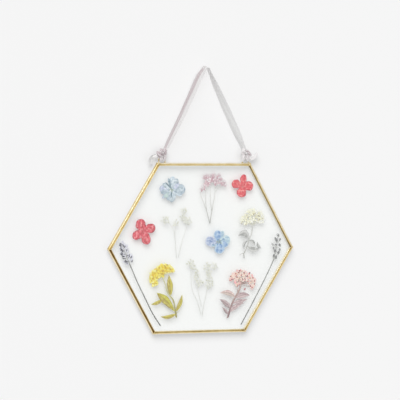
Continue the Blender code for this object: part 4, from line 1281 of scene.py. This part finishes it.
def addLeaf(name, leaf, finish):
    # the leaf itself, and any smaller blade grown together with it
    piece = startPiece()
    widest, fullness = leaf.get("widest", 0.45), 0.9
    addPetal(piece, leaf["base"], leaf["tip"], leaf["width"], widest, leaf["bend"], fullness,
             frill=0.05, thick=0.3, crumple=0.06, seed=len(name), rows=60, columns=28)
    if "second" in leaf:
        base, tip, width, bend = leaf["second"]
        addPetal(piece, base, tip, width, widest, bend, fullness, depth=0.06, frill=0.03, seed=0,
                 rows=40, columns=22)
    finishPiece(name, piece, [finish], [leaf["node"]])


def addUmbel(umbel):
    # the head, every stalk in one piece, and a piece for each leaf
    name, head = umbel["head"]
    addHead(name, umbel["headNode"], head, umbel["petalFinishes"])
    addStalkPiece(umbel["stalkName"], umbel["stalkNode"], umbel["stalks"], umbel["stalkFinish"])
    for name, leaf in umbel["leaves"].items():
        addLeaf(name, leaf, umbel["leafFinishes"][leaf.get("finish", 0)])


# head layers: pitch, size, depth, shift of tone; stalks: points, two widths, seed
creamUmbel = {
    "headNode": "cream_umbel_head", "petalSlot": "cream_petals",
    "head": ("creamBlossom", {
        "outline": [(41.7, 24.1), (41.2, 28.3), (45.1, 34.3), (52.7, 39.6), (58.6, 38.9),
                    (63.3, 36.8), (67.6, 29.5), (66.1, 24.6), (61.4, 25.4), (56.3, 26.2),
                    (47.9, 22.9)],
        "root": (55.0, 22.6), "seed": 41, "fans": 30, "fanWidth": 0.36, "rimWidth": 2.0,
        "layers": [(3.0, 1.45, 0.1, -0.1), (2.8, 1.2, -0.1, 0.1)],
        "beads": [(42.3, 25.8), (47.9, 27.1), (52.5, 29.1), (65.7, 29.7), (61.0, 32.6),
                  (48.8, 33.1), (57.3, 31.7), (60.5, 27.8), (47.6, 23.3), (52.4, 32.7),
                  (51.1, 36.2), (57.3, 34.9)],
        "beadSize": 0.6, "extraBeads": 6.6}),
    "petalFinishes": [
        crowdFinish("creamPetals", (224, 221, 193), (246, 243, 219), (252, 250, 236),
                    (222, 217, 189), fleck=0.35),
        crowdFinish("creamBeads", (168, 156, 134), (200, 191, 166), (226, 222, 190),
                    (150, 142, 118)),
        stalkFinish("creamRays", (206, 206, 192), (228, 228, 212), (196, 194, 176))],
    "stalkName": "creamStalk", "stalkNode": "cream_umbel_stem", "leafSlot": "grey_leaves",
    "stalks": [([(46.8, -11.2), (46.2, -6.4), (47.8, -3.0), (50.2, 3.0), (51.4, 8.0),
                 (54.2, 15.0), (54.6, 19.0), (54.8, 25.4)], 1.1, 0.8, 5),
               ([(46.4, -5.8), (43.4, -6.4), (41.2, -8.0)], 0.9, 0.5, 6)],
    "stalkFinish": stalkFinish("greyStalk", (178, 178, 172), (206, 206, 200), (158, 158, 154)),
    "leafFinishes": [
        leafFinish("greyLeaf", (206, 206, 204), (186, 187, 184), (156, 157, 155), (152, 153, 150),
                   (216, 216, 212))],
    "leaves": {
        "creamLeafUpper": {"node": "cream_umbel_leaf_upper", "base": (50.7, 9.2),
                           "tip": (39.4, 11.8), "width": 6.6, "bend": -0.38},
        "creamLeafLeft": {"node": "cream_umbel_leaf_left", "base": (50.2, 7.2),
                          "tip": (46.6, -1.8), "width": 2.8, "bend": -0.26},
        "creamLeafRight": {"node": "cream_umbel_leaf_right", "base": (51.6, 7.4),
                           "tip": (57.8, 1.8), "width": 3.4, "bend": 0.18},
        "creamLeafLower": {"node": "cream_umbel_leaf_lower", "base": (50.2, 0.8),
                           "tip": (63.2, -1.0), "width": 5.2, "bend": -0.16},
        "creamLeafTip": {"node": "cream_umbel_leaf_tip", "base": (64.8, -1.0),
                         "tip": (60.8, 5.8), "width": 3.0, "bend": 0.14}},
}
yellowUmbel = {
    "headNode": "yellow_umbel_head", "petalSlot": "yellow_petals",
    "head": ("yellowBlossom", {
        "outline": [(-50.8, -38.2), (-54.4, -32.7), (-54.8, -26.1), (-49.5, -19.9),
                    (-45.6, -17.2), (-41.2, -15.9), (-34.2, -17.3), (-29.2, -23.7),
                    (-33.1, -24.4), (-38.4, -25.2), (-40.6, -28.8), (-46.0, -29.2),
                    (-46.9, -32.9), (-45.3, -34.9), (-48.0, -36.6)],
        "root": (-42.0, -27.8), "seed": 51, "fans": 16, "fanWidth": 0.36, "rimWidth": 2.0,
        # the back layer's tone is shifted far down: painted shade in the gaps between the front
        # flowers
        "layers": [(1.7, 1.5, 0.16, -0.7), (2.3, 1.15, -0.08, 0.1)],
        "beadSize": 0.66, "extraBeads": 3.4,
        "beads": [(-49.2, -35.2), (-52.0, -29.4), (-50.4, -24.0), (-44.6, -19.4),
                  (-38.6, -19.0), (-33.4, -21.2), (-46.4, -24.4), (-41.2, -22.6)]}),
    "petalFinishes": [
        crowdFinish("yellowPetals", (224, 192, 56), (246, 229, 96), (253, 244, 168),
                    (222, 192, 66), fleck=0.4),
        crowdFinish("amberBeads", (174, 136, 38), (214, 176, 54), (246, 232, 122), (178, 140, 40)),
        stalkFinish("yellowRays", (180, 176, 104), (214, 204, 110), (160, 150, 80))],
    "stalkName": "yellowStalk", "stalkNode": "yellow_umbel_stem", "leafSlot": "olive_leaves",
    "stalks": [([(-25.1, -70.4), (-26.2, -65.0), (-27.0, -61.0), (-30.2, -50.8), (-32.4, -48.4),
                 (-36.4, -42.0), (-38.0, -36.4), (-39.6, -32.6), (-42.6, -26.9)], 1.9, 0.8, 7),
               ([(-26.0, -66.2), (-23.8, -64.9), (-21.8, -62.9)], 0.6, 0.36, 8)],
    "stalkFinish": stalkFinish("greenStalk", (146, 140, 74), (204, 206, 160), (166, 150, 78)),
    "leafFinishes": [
        leafFinish("oliveLeaf", (200, 190, 80), (186, 172, 72), (176, 162, 84), (134, 112, 50),
                   (220, 210, 120), spotShare=0.85),
        leafFinish("brightLeaf", (194, 190, 76), (188, 178, 72), (170, 152, 84), (138, 116, 52),
                   (214, 212, 104), spotShare=0.85)],
    "leaves": {
        "yellowLeafUpright": {"node": "yellow_umbel_leaf_upright", "base": (-31.9, -47.6),
                              "tip": (-34.4, -26.8), "width": 6.2, "bend": 0.0},
        "yellowLeafLarge": {"node": "yellow_umbel_leaf_large", "base": (-26.6, -64.8),
                            "tip": (-46.8, -44.8), "width": 7.8, "bend": -0.04,
                            "widest": 0.58, "finish": 1},
        "yellowLeafSmall": {"node": "yellow_umbel_leaf_small", "base": (-40.6, -51.2),
                            "tip": (-52.8, -56.2), "width": 3.8, "bend": 0.1},
        "yellowLeafRight": {"node": "yellow_umbel_leaf_right", "base": (-26.2, -64.4),
                            "tip": (-19.6, -47.0), "width": 4.4, "bend": -0.06},
        "yellowLeafLow": {"node": "yellow_umbel_leaf_low", "base": (-25.6, -66.2),
                          "tip": (-42.2, -68.8), "width": 4.0, "bend": 0.12}},
}
roseUmbel = {
    "headNode": "rose_umbel_head", "petalSlot": "rose_petals",
    "head": ("roseBlossom", {
        "outline": [(31.5, -33.7), (31.4, -29.8), (35.0, -25.9), (41.2, -22.5), (48.8, -23.8),
                    (55.7, -27.9), (59.6, -33.5), (58.4, -41.4), (56.0, -43.2), (54.4, -41.4),
                    (52.6, -36.9), (49.2, -34.4), (44.6, -36.0), (41.4, -38.6), (39.4, -41.4),
                    (37.6, -39.2), (37.0, -33.6)],
        "root": (44.6, -37.4), "seed": 61, "fans": 34, "fanWidth": 0.5, "rimWidth": 1.6,
        "layers": [(2.8, 1.5, 0.1, -0.1), (2.7, 1.15, -0.08, 0.1)],
        "beadSize": 0.74, "extraBeads": 5.2,
        "beads": [(39.2, -30.5), (46.8, -25.8), (50.1, -29.4), (43.9, -28.7), (48.5, -33.1),
                  (40.4, -38.5), (56.3, -41.0), (55.7, -34.6), (56.8, -31.3), (33.8, -32.4),
                  (42.1, -23.7), (44.2, -24.1)]}),
    "petalFinishes": [
        crowdFinish("rosePetals", (232, 202, 180), (250, 228, 217), (236, 178, 180),
                    (222, 164, 160), fleck=0.3),
        crowdFinish("roseBeads", (150, 84, 90), (178, 106, 110), (206, 146, 140), (140, 76, 84)),
        stalkFinish("roseRays", (158, 132, 126), (190, 160, 150), (146, 120, 116))],
    "stalkName": "roseStalk", "stalkNode": "rose_umbel_stem", "leafSlot": "mauve_leaves",
    "stalks": [([(30.7, -71.6), (32.0, -66.1), (34.7, -57.9), (38.6, -50.1), (41.4, -45.4),
                 (43.6, -39.4), (44.6, -35.4)], 1.9, 1.7, 9),
               ([(41.4, -45.6), (40.4, -44.0), (40.0, -41.6)], 0.9, 0.5, 10),
               ([(30.2, -72.2), (30.9, -70.4)], 1.7, 1.3, 11)],
    "stalkFinish": stalkFinish("mauveStalk", (132, 104, 107), (194, 170, 160), (154, 126, 126)),
    "leafFinishes": [
        leafFinish("mauveLeaf", (204, 184, 184), (190, 168, 169), (178, 156, 158), (144, 119, 122),
                   (220, 204, 201), spotShare=0.7),
        leafFinish("beigeLeaf", (212, 184, 181), (206, 190, 180), (200, 184, 175), (160, 134, 133),
                   (228, 214, 204), spotShare=0.8),
        leafFinish("greyMauveLeaf", (194, 177, 177), (174, 155, 156), (160, 143, 144),
                   (130, 109, 112), (206, 190, 188), spotShare=0.8)],
    "leaves": {
        "roseLeafLeftUpper": {"node": "rose_umbel_leaf_left_upper", "base": (38.0, -50.8),
                              "tip": (21.4, -46.3), "width": 5.4, "bend": -0.14, "finish": 1},
        "roseLeafLeftMiddle": {"node": "rose_umbel_leaf_left_middle", "base": (33.4, -62.2),
                               "tip": (21.3, -52.8), "width": 5.0, "bend": -0.06, "finish": 2},
        "roseLeafLeftLow": {"node": "rose_umbel_leaf_left_low", "base": (31.6, -68.8),
                            "tip": (24.2, -60.6), "width": 3.0, "bend": 0.0, "finish": 2},
        "roseLeafRightUpper": {"node": "rose_umbel_leaf_right_upper", "base": (38.6, -51.6),
                               "tip": (54.2, -49.2), "width": 5.8, "bend": 0.1},
        "roseLeafRightLow": {"node": "rose_umbel_leaf_right_low", "base": (32.2, -66.2),
                             "tip": (45.8, -57.9), "width": 4.6, "bend": 0.08},
        "roseLeafRightMiddle": {"node": "rose_umbel_leaf_right_middle", "base": (35.6, -57.2),
                                "tip": (51.4, -53.6), "width": 4.0, "bend": 0.02,
                                "second": ((37.6, -56.2), (48.0, -57.6), 3.0, 0.06)}},
}
for umbel in (creamUmbel, yellowUmbel, roseUmbel):
    addUmbel(umbel)

# a bloom that has dropped off the rose umbel, two flowers and two seeds: their places,
# depths, sizes, turns and tones
looseBloom = {
    "flowers": ([(48.1, -43.0), (48.5, -42.6)], (0.0, -0.12), (1.2, 0.7), (0.4, 1.0), (0.8, 0.5)),
    "seeds": ([(48.3, -42.8), (48.9, -42.0)], (-0.24, -0.2), (0.8, 0.5), (0.5, 1.2), (0.5, 0.8)),
}


def addLooseBloom(shape, finishes):
    piece = startPiece()
    scatter(piece, fineFlower, *shape["flowers"])
    scatter(piece, bud, *shape["seeds"], 1, squash=0.25)
    finishPiece("roseLooseBloom", piece, finishes, ["rose_umbel_loose_floret"])


addLooseBloom(looseBloom, roseUmbel["petalFinishes"][:2])
print("umbels made")

lavenderBuds = petalFinish("lavenderBuds", (92, 92, 100), (60, 60, 68), (112, 112, 120),
                           (168, 168, 172), heartEnd=0.3)
paleBracts = petalFinish("paleBracts", (220, 220, 228), (190, 191, 202), (204, 204, 214),
                         (186, 187, 192))
greyBuds = petalFinish("greyBuds", (134, 134, 135), (88, 88, 91), (144, 144, 145), (176, 180, 168),
                       pale=(202, 202, 201), patchShare=0.9, heartEnd=0.4)
lavenderPith = stalkFinish("lavenderPith", (170, 172, 164), (196, 196, 200), (150, 150, 152))
darkStalk = stalkFinish("darkStalk", (92, 92, 86), (138, 138, 132), (76, 76, 72))
lightStalk = stalkFinish("lightStalk", (118, 118, 114), (146, 148, 142), (100, 100, 98))
leftSpike = {
    "base": (-76.6, -15.2), "tip": (-85.6, 6.0), "buds": 76, "length": 2.3, "width": 1.1,
    "halfWidths": (3.4, 5.2, 5.0, 4.3, 3.4, 2.4, 1.0),                 # from base to tip
    "stalkWidths": (1.2, 0.8), "paleLonger": 1.5, "paleWider": 1.3,
}
# right spike: each bud as (across, height, size), and the stalk that they hang from
rightSpike = {
    "buds": [(83.7, 12.2, 2.3), (82.1, 6.9, 2.4), (85.6, 7.5, 2.0), (77.9, 2.9, 1.9),
             (85.8, 2.1, 2.0), (81.5, 1.5, 2.4), (81.0, -4.2, 2.5), (85.9, -2.6, 1.8),
             (84.6, -5.9, 2.2), (81.9, -10.6, 2.3), (79.7, -9.2, 2.4), (80.4, 8.9, 1.5),
             (79.0, -1.0, 1.7)],
    "stalk": [(79.4, -12.4), (81.0, -5.0), (82.4, 3.0), (83.4, 10.6)],
    "stalkWidths": (1.0, 0.6), "thread": 0.5, "threadDrop": 3.4,
}
lavenderStalks = {
    "lavenderStalkLeft": ("lavender_left_stem", darkStalk, [
        ([(-41.8, -78.6), (-50.3, -66.4), (-58.2, -51.8), (-68.7, -31.8), (-75.8, -16.6),
          (-77.2, -14.0)], 1.0, 0.95, 12)]),
    "lavenderStalkRight": ("lavender_right_stem", lightStalk, [
        ([(45.1, -79.7), (59.4, -53.2), (73.0, -26.6), (78.2, -15.4), (79.6, -11.9)], 1.0, 0.9,
         13)]),
}


def addLeftSpike(shape, rng):
    # buds over the whole spike: place along by a golden step, place across at random, each
    # leaning up and outward; every second one is a pale bract that lies behind
    piece = startPiece()
    start, end = np.array(shape["base"]), np.array(shape["tip"])
    axis = end - start
    heading = axis / np.linalg.norm(axis)
    side = np.array([heading[1], -heading[0]])
    addStalk(piece, [start, end], *shape["stalkWidths"], seed=3, slot=1)
    along = (np.arange(shape["buds"]) * 0.618) % 1
    away = rng.uniform(-1, 1, shape["buds"]) * easeBetween(shape["halfWidths"], along)
    for k, (t, u) in enumerate(zip(along, away)):
        root = start + axis * t + side * u * 0.8
        out = heading + side * (0.5 * np.sign(u) + 0.12 * u + rng.uniform(-0.5, 0.5))
        out = out / np.linalg.norm(out)
        pale = k % 2 == 0
        size = rng.uniform(0.75, 1.25) * (shape["paleLonger"] if pale else 1)
        addPetal(piece, root - out * 0.3, root + out * shape["length"] * size,
                 shape["width"] * size * (shape["paleWider"] if pale else 1), 0.55, 0.05, 0.6,
                 depth=0.08 if pale else rng.uniform(-0.12, 0.02), slot=2 if pale else 0,
                 tone=rng.uniform(0, 1), frill=0.05, thick=0.3, crumple=0.02, seed=k, rows=10,
                 columns=10)
    finishPiece("lavenderSpikeLeft", piece, [lavenderBuds, lavenderPith, paleBracts],
                ["lavender_left_spike"])


def addRightSpike(shape, rng):
    # loose buds, each on a thread that leaves the stalk a little below it
    piece = startPiece()
    buds = np.array(shape["buds"])
    height = buds[:, 1] - shape["threadDrop"]
    root = np.stack([np.interp(height, (-14, 12), (79.2, 83.6)), height], axis=1)
    addStalk(piece, shape["stalk"], *shape["stalkWidths"], seed=4, slot=1)
    addThreads(piece, root, buds[:, :2], shape["thread"], np.zeros(len(buds)), 0.1, 1, seed=5)
    for k, (x, z, size) in enumerate(shape["buds"]):
        lean = math.radians(90 + rng.uniform(-35, 35))
        reach = np.array([math.cos(lean), math.sin(lean)]) * size * 0.95
        addPetal(piece, (x - reach[0], z - reach[1]), (x + reach[0], z + reach[1]), size * 1.15,
                 0.55, 0.05, 0.6, depth=0.04 * (-1)**k, tone=rng.uniform(0, 1), frill=0.1,
                 thick=0.5, crumple=0.04, seed=k + 40, rows=18, columns=14)
    finishPiece("lavenderSpikeRight", piece, [greyBuds, lavenderPith], ["lavender_right_spike"])


spikeRng = np.random.default_rng(81)
addLeftSpike(leftSpike, spikeRng)
addRightSpike(rightSpike, spikeRng)
for name, (node, finish, stalks) in lavenderStalks.items():
    addStalkPiece(name, node, stalks, finish)
print("lavender made")


# the backdrop, in metres from the hanging point
stageLook = {
    "behind": 0.0054, "heights": (1.2, 0.3, -0.4), "floor": -0.95, "sweep": 0.35, "reach": 2.4,
    "wide": 3.4, "colour": (0.84, 0.84, 0.84, 1), "roughness": 0.95,
    "glow": 0.10,                         # keeps the shadows soft
}


def addBackdrop(look):
    # one sheet: straight down behind the object, round a quarter circle, forward as floor.
    # Its back is clear, so the other views see past it.
    turn = np.linspace(0, math.pi / 2, 24)
    back, floor, sweep = look["behind"], look["floor"], look["sweep"]
    profile = np.vstack([[(back, height) for height in look["heights"]],
                         np.stack([back - sweep + sweep * np.cos(turn),
                                   floor + sweep - sweep * np.sin(turn)], axis=1),
                         [(back - look["reach"], floor)]])
    x = np.linspace(-look["wide"], look["wide"], 9)
    points = [(u, y, z) for y, z in profile for u in x]
    rows, columns = len(profile), len(x)
    faces = [(r * columns + c, (r + 1) * columns + c, (r + 1) * columns + c + 1,
              r * columns + c + 1) for r in range(rows - 1) for c in range(columns - 1)]
    mesh = bpy.data.meshes.new("backdrop")
    mesh.from_pydata(points, [], faces)
    mesh.polygons.foreach_set("use_smooth", np.ones(len(faces), bool))
    mesh.update()
    if mesh.polygons[0].normal.y > 0:
        mesh.flip_normals()
    material = bpy.data.materials.new("paleBackdrop")
    material.use_nodes = True
    tree = material.node_tree
    shader = tree.nodes["Principled BSDF"]
    shader.inputs["Base Color"].default_value = look["colour"]
    shader.inputs["Emission Color"].default_value = (1, 1, 1, 1)
    shader.inputs["Emission Strength"].default_value = look["glow"]
    shader.inputs["Roughness"].default_value = look["roughness"]
    shader.inputs["Specular IOR Level"].default_value = 0.0
    clear = addNode(tree, "ShaderNodeBsdfTransparent")
    side = addNode(tree, "ShaderNodeNewGeometry").outputs["Backfacing"]
    blend = addNode(tree, "ShaderNodeMixShader", {0: side, 1: shader.outputs[0],
                                                  2: clear.outputs[0]})
    tree.links.new(blend.outputs[0], tree.nodes["Material Output"].inputs[0])
    mesh.materials.append(material)
    backdrop = bpy.data.objects.new("backdrop", mesh)
    backdrop.visible_diffuse = False
    backdrop.visible_shadow = False
    bpy.context.collection.objects.link(backdrop)


lightLook = {
    "world": 0.54, "sun": 1.65, "sunAngle": 42,          # strengths, degrees
    "sunFrom": (-0.45, -1.0, 0.80),
    "panel": 8.0, "panelSize": 2.0, "panelPlace": (1.33, -3.53, -0.52),
}


def addLight(look):
    # an even pale surround, a broad soft light from the upper left, and a large panel in
    # front on the right, which the glass and the flat brass reflect
    world = bpy.data.worlds.new("studio")
    world.use_nodes = True
    world.node_tree.nodes["Background"].inputs[0].default_value = (1, 1, 1, 1)
    world.node_tree.nodes["Background"].inputs[1].default_value = look["world"]
    bpy.context.scene.world = world
    data = bpy.data.lights.new("softKey", "SUN")
    data.energy = look["sun"]
    data.angle = math.radians(look["sunAngle"])
    key = bpy.data.objects.new("softKey", data)
    key.matrix_world = Vector(look["sunFrom"]).to_track_quat("Z", "Y").to_matrix().to_4x4()
    bpy.context.collection.objects.link(key)
    data = bpy.data.lights.new("softPanel", "AREA")
    data.energy = look["panel"]
    data.size = look["panelSize"]
    panel = bpy.data.objects.new("softPanel", data)
    place = Vector(look["panelPlace"])
    aim = place - Vector((0, 0, middleHeight * 0.001))
    turn = aim.to_track_quat("Z", "Y").to_matrix().to_4x4()
    panel.matrix_world = Matrix.Translation(place) @ turn
    panel.visible_camera = False
    bpy.context.collection.objects.link(panel)


addBackdrop(stageLook)
addLight(lightLook)
bpy.context.scene.view_settings.view_transform = "Standard"
print("backdrop and light placed")
